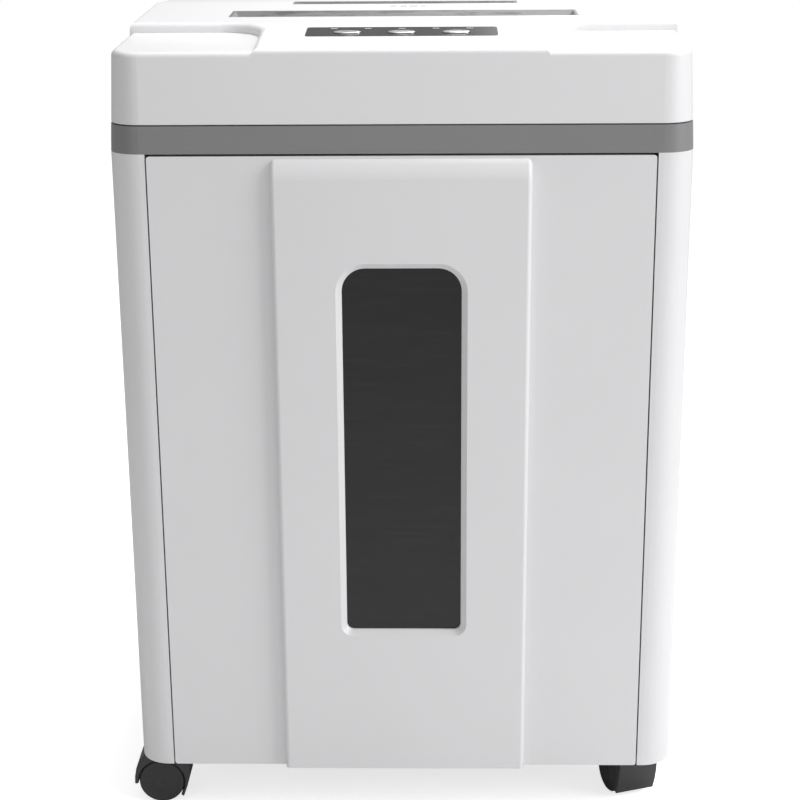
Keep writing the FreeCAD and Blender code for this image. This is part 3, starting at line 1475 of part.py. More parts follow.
def power_electronics():
    """Mains board and its parts on the casing floor, left of the cutter block."""
    x = -cabinet_width / 2 + casing_wall + 6
    y = front_plane + 70
    board = box("power_sheet", 30, 120, board_thick, x, y, floor_z + 4)
    pegs = []
    for index, (across, away) in enumerate(((4, 6), (26, 6), (4, 114), (26, 114))):
        pegs.append(cylinder(f"power_peg{index}", 2, 4, x + across, y + away, floor_z))
    node(group("board_on_pegs", board, *pegs), "power_board")
    top = floor_z + 4 + board_thick
    relay = box("relay", 16, 20, 16, x + 4, y + 10, top)
    transformer = box("transformer", 22, 28, 22, x + 4, y + 40, top)
    capacitor = cylinder("capacitor", 7, 20, x + 12, y + 86, top)
    fuse_holder = box("fuse_holder", 8, 22, 9, x + 20, y + 92, top)
    node(group("power_parts", relay, transformer, capacitor, fuse_holder), "board_components")


def rear_fittings():
    """Power rocker and cord inlet in the back of the cover."""
    x, z = fitting_place()
    face_y = back_plane - draft_rise * (z - cabinet_top)
    flange_lift = 0.5
    flange_thick = 1.6
    housing = centred_box("switch_case", 20, 16, 14, x, face_y + flange_lift - 8, z - 7)
    flange = box("switch_flange", 24, flange_thick, 18, x - 12, face_y + flange_lift, z - 9)
    well = centred_box("switch_well", 16, 12, 10, x, face_y - 3, z - 5)
    node(cut("switch_body", fuse("switch_outer", housing, flange), well), "switch_housing")
    rocker = doc.addObject("Part::Box", "rocker_block")
    bind(rocker, Length=rocker_width, Width=rocker_depth, Height=rocker_height)
    rocker.Placement = Placement(Vector(), Rotation(Vector(0, 0, 1), rocker_lean.number))
    rocker.setExpression("Placement.Rotation.Angle", f"{rocker_lean.text} * 1 deg")
    sine = angle_function("sin", rocker_lean)
    cosine = angle_function("cos", rocker_lean)
    pivot_y = face_y - rocker_depth / 2
    corner_x = x - rocker_width / 2 * cosine + rocker_depth / 2 * sine
    corner_y = pivot_y - rocker_width / 2 * sine - rocker_depth / 2 * cosine
    node(put(rocker, corner_x, corner_y, z - rocker_height / 2), "power_rocker")
    gland_x = -x
    sleeve = cylinder("gland_sleeve", 6, 10 + flange_lift, gland_x, face_y - 10, z, "y")
    flange = cylinder("gland_flange", 8.5, flange_thick, gland_x, face_y + flange_lift, z, "y")
    bore = cylinder("gland_bore", 3.6, 20, gland_x, face_y - 14, z, "y")
    node(cut("gland_body", fuse("gland_outer", sleeve, flange), bore), "cord_inlet")


def paper_sensors():
    """Light gate across the feed path: one half in front of the throat, one behind."""
    halves = []
    z = shoulder_z - 12
    middle = front_plane + feed_from
    gap = feed_throat_gap / 2 + throat_wall
    for side in (-1, 1):
        y = middle + side * (gap + 4.1) + angle_function("sin", crest_slope) * 15
        halves.append(centred_box(f"sensor_half{side + 1}", 12, 7, 7, 0, y, z))
    node(group("sensor_pair", *halves), "paper_sensors")


# ---------------------------------------------------------------- castors

def castor(label, side, end, heading):
    """Twin-wheel castor: hood with stem, and two wheels on one pin, trailing along the heading."""
    swivel_x = side * (cabinet_width / 2 - castor_inset_x)
    swivel_y = castor_centre_y(end)
    axle_z = wheel_radius
    angle = math.radians(heading)
    centre_x = swivel_x + castor_trail * math.cos(angle)
    centre_y = swivel_y + castor_trail * math.sin(angle)
    frame = Rotation(Vector(0, 0, 1), heading)
    across = frame.multiply(Rotation(Vector(1, 0, 0), -90))

    def lay(name, radius, length, offset):
        """A cylinder along the axle, its near end an offset from the castor's middle."""
        roll = doc.addObject("Part::Cylinder", f"{label}_{name}")
        bind(roll, Radius=radius, Height=length)
        roll.Placement = Placement(Vector(), across)
        x = centre_x - as_size(offset) * math.sin(angle)
        y = centre_y + as_size(offset) * math.cos(angle)
        return put(roll, x, y, axle_z)

    half_web = hood_web / 2
    outside = half_web + hood_gap + wheel_width
    shell = lay("shell", hood_radius, outside * 2, -outside)
    lower = cylinder(f"{label}_lower", hood_radius * 2, axle_z + 7, centre_x, centre_y, -10)
    rooms = []
    for turn_side in (-1, 1):
        near = half_web if turn_side > 0 else -outside - 1
        rooms.append(lay(f"room{turn_side + 1}", wheel_radius + hood_gap, outside - half_web + 1, near))
    hub = lay("hub", 6, hood_web, -half_web)
    bore = lay("bore", 2.5 + running_gap, hood_web + 2, -half_web - 1)
    neck_z = axle_z + 12
    neck_height = castor_height - 0.5 - neck_z
    neck = cylinder(f"{label}_neck", stem_radius + 4, neck_height, swivel_x, swivel_y, neck_z)
    stem = cylinder(f"{label}_stem", stem_radius, base_thick + 13, swivel_x, swivel_y, castor_height - 14)
    carved = cut(f"{label}_hood", shell, lower, *rooms)
    solid = fuse(f"{label}_solid", carved, hub, neck, stem)
    clear = []
    for turn_side in (-1, 1):
        inner_face = half_web if turn_side > 0 else -half_web - wheel_width - hood_gap
        clear.append(lay(f"clear{turn_side + 1}", wheel_radius + hood_gap, wheel_width + hood_gap, inner_face))
    node(cut(f"{label}_body", solid, bore, *clear), f"castor_hood_{label}")
    wheels = []
    for turn_side in (-1, 1):
        near = half_web + hood_gap if turn_side > 0 else -outside
        disc = lay(f"disc{turn_side + 1}", wheel_radius, wheel_width, near)
        pin_hole = lay(f"pin_hole{turn_side + 1}", 2.5, wheel_width, near)
        rounded = doc.addObject("Part::Fillet", f"{label}_round{turn_side + 1}")
        rounded.Base = disc
        doc.recompute()
        rims = []
        for place, edge in enumerate(disc.Shape.Edges):
            if edge.Closed and edge.Length > 50:
                rims.append(place + 1)
        rounded.Edges = [(place, 2.2, 2.2) for place in rims]
        wheels.append(cut(f"{label}_wheel{turn_side + 1}", rounded, pin_hole))
    pin = lay("pin", 2.5, outside * 2 - 2, -outside + 1)
    node(group(f"{label}_wheel_set", *wheels, pin), f"castor_wheels_{label}")


# ---------------------------------------------------------------- build

def build():
    side_panel("side_panel_left", -1)
    side_panel("side_panel_right", 1)
    rear_panel()
    node(group("rear_screw_set", *rear_screws()), "rear_panel_screws")
    base_plate()
    support_frame()
    drawer_front()
    window_pane()
    bin_tub()
    bin_glides()
    bin_runners()
    drawer_sensing()
    lower_casing()
    under_tray()
    top_cover()
    feed_throat()
    disc_throat()
    control_fascia()
    for index, name in enumerate(("left", "middle", "right")):
        button(f"button_{name}", index)
    indicator_lights()
    control_board()
    side_plates()
    tie_bars()
    shaft_bushes()
    cutter_shaft("cutter_shaft_front", front_axis_y, plate_outer + 15, plate_outer + 34)
    cutter_shaft("cutter_shaft_rear", rear_axis_y, plate_outer + 15, plate_outer + 2)
    cutter_rows()
    stripper("stripper_front", -1)
    stripper("stripper_rear", 1)
    gear_train()
    sync_gears()
    gear_cover()
    motor()
    power_electronics()
    rear_fittings()
    paper_sensors()
    headings = {"front_left": (-1, -1, 180), "front_right": (1, -1, 110)}
    headings.update({"rear_left": (-1, 1, 290), "rear_right": (1, 1, 0)})
    for label, (side, end, heading) in headings.items():
        castor(label, side, end, heading)


def check_and_write():
    """Refuse to write anything while an object has failed or a node is not sound."""
    doc.recompute()
    for thing in doc.Objects:
        if "Invalid" in thing.State or "Error" in thing.State:
            raise RuntimeError(f"{thing.Name} failed: {thing.State}")
    for thing in nodes:
        if thing.Shape.isNull() or not thing.Shape.isValid():
            raise RuntimeError(f"{thing.Label} has no sound shape")
    os.makedirs("parts", exist_ok=True)
    for thing in nodes:
        thing.Shape.exportStep(f"parts/{thing.Label}.step")
    print(len(nodes), "nodes written")


build()
check_and_write()
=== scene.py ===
import json
import math
import bmesh
import bpy
from mathutils import Matrix, Vector
from mathutils.bvhtree import BVHTree


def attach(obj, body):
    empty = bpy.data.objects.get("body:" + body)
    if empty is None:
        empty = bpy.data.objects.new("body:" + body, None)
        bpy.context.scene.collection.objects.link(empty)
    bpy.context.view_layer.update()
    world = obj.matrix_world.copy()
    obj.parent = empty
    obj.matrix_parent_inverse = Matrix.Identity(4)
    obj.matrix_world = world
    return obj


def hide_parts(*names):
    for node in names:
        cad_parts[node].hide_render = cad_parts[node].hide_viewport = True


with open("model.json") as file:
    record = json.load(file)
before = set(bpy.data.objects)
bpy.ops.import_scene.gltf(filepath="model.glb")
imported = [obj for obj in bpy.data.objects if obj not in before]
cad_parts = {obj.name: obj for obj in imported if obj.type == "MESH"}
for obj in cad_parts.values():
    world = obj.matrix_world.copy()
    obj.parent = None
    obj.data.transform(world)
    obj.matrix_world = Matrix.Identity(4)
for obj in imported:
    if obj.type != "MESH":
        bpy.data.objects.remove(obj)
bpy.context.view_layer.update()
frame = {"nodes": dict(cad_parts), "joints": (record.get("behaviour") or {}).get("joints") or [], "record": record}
scene = bpy.context.scene


# camera, lights and floor

cameraSet = {
    "place": (0.0239, -1.3307, 0.6928),
    "pitchDown": 17.32,
    "yaw": -1.24,
    "roll": -0.41,
    "lens": 80.46,
    "sensor": 36,
    "near": 0.05,
}

lightSet = {
    # name: (place, aims at, width, height, power)
    "keyBox": ((2.0, -0.9, 1.3), (0, 0, 0.35), 1.0, 1.5, 28),
    "topBox": ((0.25, 0.05, 1.45), (0.1, 0, 0.5), 0.8, 0.7, 12),
    "frontFill": ((-0.3, -2.4, 0.9), (0, 0, 0.3), 1.6, 1.6, 4),
    "backRightBox": ((0.86, 2.3, 1.45), (0.1, 0, 0.56), 1.5, 1.1, 6),
}

worldSet = {"seen": 1.0, "light": 0.36}
floorSet = {"size": 6.0, "colour": (0.9, 0.9, 0.905, 1), "rough": 0.8, "lift": 0.7}


def makeCamera(v):
    pitch = math.radians(v["pitchDown"])
    yaw = math.radians(v["yaw"])
    roll = math.radians(v["roll"])
    forward = Vector((math.sin(yaw) * math.cos(pitch), math.cos(yaw) * math.cos(pitch), -math.sin(pitch)))
    right = Vector((math.cos(yaw), -math.sin(yaw), 0))
    down = forward.cross(right)
    tiltedRight = math.cos(roll) * right - math.sin(roll) * down
    tiltedDown = math.sin(roll) * right + math.cos(roll) * down
    camera = bpy.data.objects.new("camera", bpy.data.cameras.new("camera"))
    scene.collection.objects.link(camera)
    turn = Matrix((tiltedRight, -tiltedDown, -forward)).transposed()
    camera.matrix_world = Matrix.Translation(v["place"]) @ turn.to_4x4()
    camera.data.lens = v["lens"]
    camera.data.sensor_width = v["sensor"]
    camera.data.clip_start = v["near"]
    scene.camera = camera


def makeLights(lights):
    for name, (place, aim, width, height, power) in lights.items():
        lamp = bpy.data.lights.new(name, "AREA")
        lamp.shape = "RECTANGLE"
        lamp.size = width
        lamp.size_y = height
        lamp.energy = power
        holder = bpy.data.objects.new(name, lamp)
        scene.collection.objects.link(holder)
        holder.location = place
        holder.rotation_euler = (Vector(aim) - Vector(place)).to_track_quat("-Z", "Y").to_euler()


def makeWorld(v):
    world = bpy.data.worlds.new("studio")
    scene.world = world
    world.use_nodes = True
    tree = world.node_tree
    background = tree.nodes["Background"]
    background.inputs["Color"].default_value = (1, 1, 1, 1)
    path = tree.nodes.new("ShaderNodeLightPath")
    strength = tree.nodes.new("ShaderNodeMapRange")
    strength.inputs["To Min"].default_value = v["light"]
    strength.inputs["To Max"].default_value = v["seen"]
    tree.links.new(path.outputs["Is Camera Ray"], strength.inputs["Value"])
    tree.links.new(strength.outputs["Result"], background.inputs["Strength"])


def makeFloor(v):
    bm = bmesh.new()
    bmesh.ops.create_grid(bm, x_segments=1, y_segments=1, size=v["size"] / 2)
    mesh = bpy.data.meshes.new("floor")
    bm.to_mesh(mesh)
    bm.free()
    floor = bpy.data.objects.new("floor", mesh)
    scene.collection.objects.link(floor)
    paint = bpy.data.materials.new("floorPaper")
    paint.use_nodes = True
    shader = paint.node_tree.nodes["Principled BSDF"]
    shader.inputs["Base Color"].default_value = v["colour"]
    shader.inputs["Roughness"].default_value = v["rough"]
    shader.inputs["Emission Color"].default_value = (1, 1, 1, 1)
    # the sweep is lifted towards white for the eye, and lights nothing
    path = paint.node_tree.nodes.new("ShaderNodeLightPath")
    lift = paint.node_tree.nodes.new("ShaderNodeMath")
    lift.operation = "MULTIPLY"
    lift.inputs[1].default_value = v["lift"]
    paint.node_tree.links.new(path.outputs["Is Camera Ray"], lift.inputs[0])
    paint.node_tree.links.new(lift.outputs[0], shader.inputs["Emission Strength"])
    mesh.materials.append(paint)


makeCamera(cameraSet)
makeLights(lightSet)
makeWorld(worldSet)
makeFloor(floorSet)
scene.view_settings.view_transform = "Standard"
print("camera, light and floor are set")


# shader groups, each an effect that several materials use

def newGroup(name, takes, gives):
    group = bpy.data.node_groups.new(name, "ShaderNodeTree")
    for label, kind, start in takes:
        socket = group.interface.new_socket(label, in_out="INPUT", socket_type="NodeSocket" + kind)
        socket.default_value = start
    for label, kind in gives:
        group.interface.new_socket(label, in_out="OUTPUT", socket_type="NodeSocket" + kind)
    into = group.nodes.new("NodeGroupInput")
    out = group.nodes.new("NodeGroupOutput")
    return group, into, out


def addNode(tree, kind, **settings):
    made = tree.nodes.new("ShaderNode" + kind)
    for key, value in settings.items():
        setattr(made, key, value)
    return made


def maths(tree, operation, first, second):
    made = addNode(tree, "Math", operation=operation)
    for place, value in enumerate((first, second)):
        if isinstance(value, (int, float)):
            made.inputs[place].default_value = value
        else:
            tree.links.new(value, made.inputs[place])
    return made.outputs[0]


def mixColours(tree, amount, first, second, blend="MIX"):
    made = addNode(tree, "Mix", data_type="RGBA", blend_type=blend)
    for name, value in (("Factor_Float", amount), ("A_Color", first), ("B_Color", second)):
        socket = next(s for s in made.inputs if s.identifier == name)
        if isinstance(value, (int, float, tuple)):
            socket.default_value = value
        else:
            tree.links.new(value, socket)
    return next(s for s in made.outputs if s.identifier == "Result_Color")


def noise(tree, where, scale, detail=2, rough=0.5):
    made = addNode(tree, "TexNoise")
    made.inputs["Detail"].default_value = detail
    made.inputs["Roughness"].default_value = rough
    tree.links.new(where, made.inputs["Vector"])
    if isinstance(scale, (int, float)):
        made.inputs["Scale"].default_value = scale
    else:
        tree.links.new(scale, made.inputs["Scale"])
    return made.outputs["Fac"]


def stretch(tree, value, low, high, toLow=0.0, toHigh=1.0):
    made = addNode(tree, "MapRange")
    tree.links.new(value, made.inputs["Value"])
    for name, amount in (("From Min", low), ("From Max", high), ("To Min", toLow), ("To Max", toHigh)):
        if isinstance(amount, (int, float)):
            made.inputs[name].default_value = amount
        else:
            tree.links.new(amount, made.inputs[name])
    return made.outputs["Result"]


# noise scales are in repeats a metre, and pairs are the range that a mask fades over
grainSet = {"drift": 9, "driftRange": (0.3, 0.7), "smear": 38}
wearSet = {"samples": 4, "sharp": (0.995, 0.85), "patches": 160, "patchRange": (0.42, 0.62)}
dustSet = {"colour": (0.62, 0.61, 0.59, 1), "facing": (0.35, 0.95), "patches": 70, "patchRange": (0.35, 0.7),
           "dulls": 0.35}
lineSet = {"lines": 2400, "blotches": 55, "blotchRange": (0.4, 0.7), "tarnish": (0.55, 0.52, 0.48, 1),
           "roughens": 0.16}


def makeMouldGrain(v):
    # fine spark-eroded grain of a moulding, with slow drift in tone and gloss
    takes = [("Color", "Color", (0.8, 0.8, 0.8, 1)), ("Tone Drift", "Float", 0.03),
             ("Roughness", "Float", 0.4), ("Gloss Drift", "Float", 0.06), ("Grain Scale", "Float", 2500.0)]
    gives = [("Color", "Color"), ("Roughness", "Float"), ("Height", "Float")]
    group, into, out = newGroup("mouldGrain", takes, gives)
    where = addNode(group, "TexCoord").outputs["Object"]
    fine = noise(group, where, into.outputs["Grain Scale"], 3)
    slow = noise(group, where, v["drift"], 4)
    smear = noise(group, where, v["smear"], 3)
    dim = maths(group, "SUBTRACT", 1, into.outputs["Tone Drift"])
    tone = stretch(group, slow, *v["driftRange"], dim, 1)
    tinted = addNode(group, "CombineColor")
    for channel in range(3):
        group.links.new(tone, tinted.inputs[channel])
    colour = mixColours(group, 1.0, into.outputs["Color"], tinted.outputs["Color"], "MULTIPLY")
    swing = maths(group, "MULTIPLY", maths(group, "SUBTRACT", smear, 0.5), into.outputs["Gloss Drift"])
    gloss = maths(group, "ADD", into.outputs["Roughness"], swing)
    group.links.new(colour, out.inputs["Color"])
    group.links.new(gloss, out.inputs["Roughness"])
    group.links.new(fine, out.inputs["Height"])
    return group


def makeEdgeWear(v):
    # a worn tone along sharp edges, broken up so that it never runs in a line
    takes = [("Color", "Color", (0.5, 0.5, 0.5, 1)), ("Worn Color", "Color", (0.9, 0.9, 0.9, 1)),
             ("Amount", "Float", 0.5), ("Reach", "Float", 0.0006)]
    group, into, out = newGroup("edgeWear", takes, [("Color", "Color"), ("Mask", "Float")])
    where = addNode(group, "TexCoord").outputs["Object"]
    rounded = addNode(group, "Bevel", samples=v["samples"])
    group.links.new(into.outputs["Reach"], rounded.inputs["Radius"])
    plain = addNode(group, "NewGeometry")
    apart = addNode(group, "VectorMath", operation="DOT_PRODUCT")
    group.links.new(rounded.outputs["Normal"], apart.inputs[0])
    group.links.new(plain.outputs["Normal"], apart.inputs[1])
    edge = stretch(group, apart.outputs["Value"], *v["sharp"])
    patches = stretch(group, noise(group, where, v["patches"], 4), *v["patchRange"])
    mask = maths(group, "MULTIPLY", maths(group, "MULTIPLY", edge, patches), into.outputs["Amount"])
    colour = mixColours(group, mask, into.outputs["Color"], into.outputs["Worn Color"])
    group.links.new(colour, out.inputs["Color"])
    group.links.new(mask, out.inputs["Mask"])
    return group


def makeDust(v):
    # a thin film that settles on faces that look up
    takes = [("Color", "Color", (0.1, 0.1, 0.1, 1)), ("Roughness", "Float", 0.4), ("Amount", "Float", 0.2)]
    group, into, out = newGroup("settledDust", takes, [("Color", "Color"), ("Roughness", "Float")])
    where = addNode(group, "TexCoord").outputs["Object"]
    plain = addNode(group, "NewGeometry")
    parts = addNode(group, "SeparateXYZ")
    group.links.new(plain.outputs["Normal"], parts.inputs[0])
    upward = stretch(group, parts.outputs["Z"], *v["facing"])
    patches = stretch(group, noise(group, where, v["patches"], 5, 0.6), *v["patchRange"])
    mask = maths(group, "MULTIPLY", maths(group, "MULTIPLY", upward, patches), into.outputs["Amount"])
    colour = mixColours(group, mask, into.outputs["Color"], v["colour"])
    rough = maths(group, "ADD", into.outputs["Roughness"], maths(group, "MULTIPLY", mask, v["dulls"]))
    group.links.new(colour, out.inputs["Color"])
    group.links.new(rough, out.inputs["Roughness"])
    return group


def makeMachining(v):
    # fine drawn or turned lines along one axis, for metal
    takes = [("Color", "Color", (0.6, 0.6, 0.6, 1)), ("Roughness", "Float", 0.3),
             ("Lines", "Vector", (0.04, 1, 1)), ("Tarnish", "Float", 0.15)]
    gives = [("Color", "Color"), ("Roughness", "Float"), ("Height", "Float")]
    group, into, out = newGroup("machining", takes, gives)
    where = addNode(group, "TexCoord").outputs["Object"]
    drawn = addNode(group, "VectorMath", operation="MULTIPLY")
    group.links.new(where, drawn.inputs[0])
    group.links.new(into.outputs["Lines"], drawn.inputs[1])
    lines = noise(group, drawn.outputs["Vector"], v["lines"], 3)
    blotch = stretch(group, noise(group, where, v["blotches"], 5, 0.6), *v["blotchRange"])
    darker = mixColours(group, 1.0, into.outputs["Color"], v["tarnish"], "MULTIPLY")
    stain = maths(group, "MULTIPLY", blotch, into.outputs["Tarnish"])
    colour = mixColours(group, stain, into.outputs["Color"], darker)
    rough = maths(group, "ADD", into.outputs["Roughness"], maths(group, "MULTIPLY", lines, v["roughens"]))
    group.links.new(colour, out.inputs["Color"])
    group.links.new(rough, out.inputs["Roughness"])
    group.links.new(lines, out.inputs["Height"])
    return group


groups = {
    "grain": makeMouldGrain(grainSet),
    "wear": makeEdgeWear(wearSet),
    "dust": makeDust(dustSet),
    "machining": makeMachining(lineSet),
}
print("shader groups:", ", ".join(groups))


# finishes of the record's slots

def placeGroup(tree, key, **values):
    made = addNode(tree, "Group", node_tree=groups[key])
    for name, value in values.items():
        socket = made.inputs[name.replace("_", " ")]
        if isinstance(value, bpy.types.NodeSocket):
            tree.links.new(value, socket)
        else:
            socket.default_value = value
    return made


bumpStrength = 0.6
coatRoughness = 0.12


def addBump(tree, shader, height, distance):
    bump = addNode(tree, "Bump")
    bump.inputs["Distance"].default_value = distance
    bump.inputs["Strength"].default_value = bumpStrength
    tree.links.new(height, bump.inputs["Height"])
    tree.links.new(bump.outputs["Normal"], shader.inputs["Normal"])


def newMaterial(name):
    made = bpy.data.materials.new(name)
    made.use_nodes = True
    return made, made.node_tree, made.node_tree.nodes["Principled BSDF"]


plasticSet = {
    "whiteShell": {"colour": (0.80, 0.80, 0.81, 1), "rough": 0.34, "grain": 3200, "depth": 0.00001,
                   "drift": 0.02, "worn": (0.9, 0.9, 0.9, 1), "wear": 0.25, "dust": 0.02, "coat": 0.12},
    "whiteSheet": {"colour": (0.74, 0.74, 0.75, 1), "rough": 0.48, "grain": 1500, "depth": 0.00003,
                   "drift": 0.03, "worn": (0.55, 0.56, 0.58, 1), "wear": 0.3, "dust": 0.03, "coat": 0.0},
    "greyBand": {"colour": (0.235, 0.235, 0.238, 1), "rough": 0.42, "grain": 2600, "depth": 0.00002,
                 "drift": 0.04, "worn": (0.4, 0.4, 0.4, 1), "wear": 0.25, "dust": 0.03, "coat": 0.0},
    "greyBoard": {"colour": (0.11, 0.11, 0.113, 1), "rough": 0.6, "grain": 1200, "depth": 0.00003,
                  "drift": 0.08, "worn": (0.25, 0.25, 0.25, 1), "wear": 0.3, "dust": 0.15, "coat": 0.0},
    "darkPlastic": {"colour": (0.022, 0.022, 0.023, 1), "rough": 0.5, "grain": 1800, "depth": 0.00003,
                    "drift": 0.1, "worn": (0.09, 0.09, 0.09, 1), "wear": 0.4, "dust": 0.12, "coat": 0.0},
    "castorPlastic": {"colour": (0.040, 0.040, 0.041, 1), "rough": 0.46, "grain": 2200, "depth": 0.00003,
                      "drift": 0.1, "worn": (0.12, 0.12, 0.12, 1), "wear": 0.45, "dust": 0.06, "coat": 0.0},
    "castorTread": {"colour": (0.036, 0.036, 0.037, 1), "rough": 0.56, "grain": 1400, "depth": 0.00005,
                    "drift": 0.15, "worn": (0.13, 0.125, 0.12, 1), "wear": 0.5, "dust": 0.08, "coat": 0.0},
    "fasciaGloss": {"colour": (0.010, 0.010, 0.011, 1), "rough": 0.24, "grain": 400, "depth": 0.000002,
                    "drift": 0.1, "worn": (0.1, 0.1, 0.1, 1), "wear": 0.3, "dust": 0.02, "coat": 0.0},
    "rockerPlastic": {"colour": (0.014, 0.014, 0.015, 1), "rough": 0.22, "grain": 2200, "depth": 0.00001,
                      "drift": 0.1, "worn": (0.1, 0.1, 0.1, 1), "wear": 0.3, "dust": 0.03, "coat": 0.3},
    "nylon": {"colour": (0.72, 0.70, 0.64, 1), "rough": 0.44, "grain": 1500, "depth": 0.00003,
              "drift": 0.08, "worn": (0.4, 0.38, 0.34, 1), "wear": 0.3, "dust": 0.05, "coat": 0.0},
    "motorPaint": {"colour": (0.08, 0.085, 0.09, 1), "rough": 0.4, "grain": 900, "depth": 0.00005,
                   "drift": 0.06, "worn": (0.45, 0.45, 0.46, 1), "wear": 0.6, "dust": 0.12, "coat": 0.2},
    "circuitMask": {"colour": (0.015, 0.12, 0.045, 1), "rough": 0.3, "grain": 500, "depth": 0.00004,
                    "drift": 0.3, "worn": (0.5, 0.42, 0.2, 1), "wear": 0.3, "dust": 0.05, "coat": 0.4},
    "lightGuide": {"colour": (0.72, 0.78, 0.79, 1), "rough": 0.2, "grain": 700, "depth": 0.00001,
                   "drift": 0.05, "worn": (0.9, 0.9, 0.9, 1), "wear": 0.2, "dust": 0.0, "coat": 0.3},
    "iconInk": {"colour": (0.30, 0.30, 0.31, 1), "rough": 0.6, "grain": 4000, "depth": 0.000005,
                "drift": 0.25, "worn": (0.6, 0.6, 0.6, 1), "wear": 0.3, "dust": 0.0, "coat": 0.0},
}

metalSet = {
    "zincSteel": {"colour": (0.58, 0.59, 0.60, 1), "rough": 0.26, "lines": (0.05, 1, 1), "tarnish": 0.2,
                  "depth": 0.00001},
    "hardSteel": {"colour": (0.38, 0.38, 0.385, 1), "rough": 0.22, "lines": (1, 0.06, 0.06), "tarnish": 0.45,
                  "depth": 0.00002},
    "bronze": {"colour": (0.52, 0.33, 0.13, 1), "rough": 0.34, "lines": (1, 0.2, 0.2), "tarnish": 0.5,
               "depth": 0.00002},
    "silverCap": {"colour": (0.80, 0.80, 0.81, 1), "rough": 0.24, "lines": (0.05, 1, 1), "tarnish": 0.05,
                  "depth": 0.000006},
    "laminations": {"colour": (0.20, 0.20, 0.205, 1), "rough": 0.42, "lines": (1, 0.02, 0.02), "tarnish": 0.5,
                    "depth": 0.00006},
    "ferrite": {"colour": (0.09, 0.09, 0.095, 1), "rough": 0.55, "lines": (1, 1, 1), "tarnish": 0.3,
                "depth": 0.00005},
}

# the upper colour is painted shade of the slot's far wall, the lower colour is a painted highlight on its near
# bevel
throatSet = {
    "top": 0.570,
    "foot": 0.5635,
    "paintedShadeUpper": (0.20, 0.20, 0.203, 1),
    "lower": (0.60, 0.60, 0.61, 1),
    "darkStreak": (0.07, 0.07, 0.072, 1),
    "worn": (0.6, 0.6, 0.6, 1),
    "wear": 0.35,
    "drift": 0.05,
    "rough": 0.34,
    "grain": 2800.0,
    "depth": 0.00001,
    "darkStreakScale": 42,
    "darkStreakStretch": (1, 9, 9),
    "darkStreakRange": (0.52, 0.72),
    "lipRange": (0.75, 0.2),
}

paneSet = {
    "colour": (0.012, 0.012, 0.013, 1),
    "rough": 0.09,
    "transmission": 0.35,
    "index": 1.49,
    "streaks": 0.10,
    "streakColour": (0.05, 0.05, 0.052, 1),
    "streakTint": 0.25,
    "streakScale": 6,
    "streakStretch": (3, 3, 60),
    "streakRange": (0.45, 0.75),
}


def makePlastic(name, v):
    made, tree, shader = newMaterial(name)
    grain = placeGroup(tree, "grain", Color=v["colour"], Tone_Drift=v["drift"], Roughness=v["rough"],
                       Grain_Scale=float(v["grain"]))
    wear = placeGroup(tree, "wear", Color=grain.outputs["Color"], Worn_Color=v["worn"], Amount=v["wear"])
    dust = placeGroup(tree, "dust", Color=wear.outputs["Color"], Roughness=grain.outputs["Roughness"],
                      Amount=v["dust"])
    tree.links.new(dust.outputs["Color"], shader.inputs["Base Color"])
    tree.links.new(dust.outputs["Roughness"], shader.inputs["Roughness"])
    shader.inputs["Coat Weight"].default_value = v["coat"]
    shader.inputs["Coat Roughness"].default_value = coatRoughness
    addBump(tree, shader, grain.outputs["Height"], v["depth"])
    return made


def makeMetal(name, v):
    made, tree, shader = newMaterial(name)
    lines = placeGroup(tree, "machining", Color=v["colour"], Roughness=v["rough"], Lines=v["lines"],
                       Tarnish=v["tarnish"])
    # bare edges are a third brighter than the face
    bright = tuple(min(1.0, part * 1.3) for part in v["colour"][:3]) + (1,)
    wear = placeGroup(tree, "wear", Color=lines.outputs["Color"], Worn_Color=bright, Amount=0.5)
    tree.links.new(wear.outputs["Color"], shader.inputs["Base Color"])
    tree.links.new(lines.outputs["Roughness"], shader.inputs["Roughness"])
    shader.inputs["Metallic"].default_value = 1.0
    addBump(tree, shader, lines.outputs["Height"], v["depth"])
    return made


def makeThroat(v):
    # painted shade and painted highlight: the upper part of the funnel is painted dark for its far wall in shade,
    # and the lower half is painted pale for its near bevel catching the light; dark streaky patches are painted
    # along the upper lip
    made, tree, shader = newMaterial("throatPlastic")
    where = addNode(tree, "TexCoord").outputs["Object"]
    parts = addNode(tree, "SeparateXYZ")
    tree.links.new(where, parts.inputs[0])
    # painted shade to painted highlight: 0 at the top of the funnel, rising to 1 at its foot
    paintedShadeToHighlight = stretch(tree, parts.outputs["Z"], v["top"], v["foot"])
    drawn = addNode(tree, "Mapping")
    drawn.inputs["Scale"].default_value = v["darkStreakStretch"]
    tree.links.new(where, drawn.inputs["Vector"])
    # dark streaky patches of stretched noise, kept to the upper lip
    darkStreaks = stretch(tree, noise(tree, drawn.outputs["Vector"], v["darkStreakScale"], 4, 0.6), *v["darkStreakRange"])
    lip = stretch(tree, paintedShadeToHighlight, *v["lipRange"])
    paintedShadeUpper = mixColours(tree, maths(tree, "MULTIPLY", darkStreaks, lip), v["paintedShadeUpper"], v["darkStreak"])
    # the painted shade above blends into the painted highlight below
    tone = mixColours(tree, paintedShadeToHighlight, paintedShadeUpper, v["lower"])
    grain = placeGroup(tree, "grain", Color=tone, Tone_Drift=v["drift"], Roughness=v["rough"],
                       Grain_Scale=v["grain"])
    wear = placeGroup(tree, "wear", Color=grain.outputs["Color"], Worn_Color=v["worn"], Amount=v["wear"])
    tree.links.new(wear.outputs["Color"], shader.inputs["Base Color"])
    tree.links.new(grain.outputs["Roughness"], shader.inputs["Roughness"])
    addBump(tree, shader, grain.outputs["Height"], v["depth"])
    return made


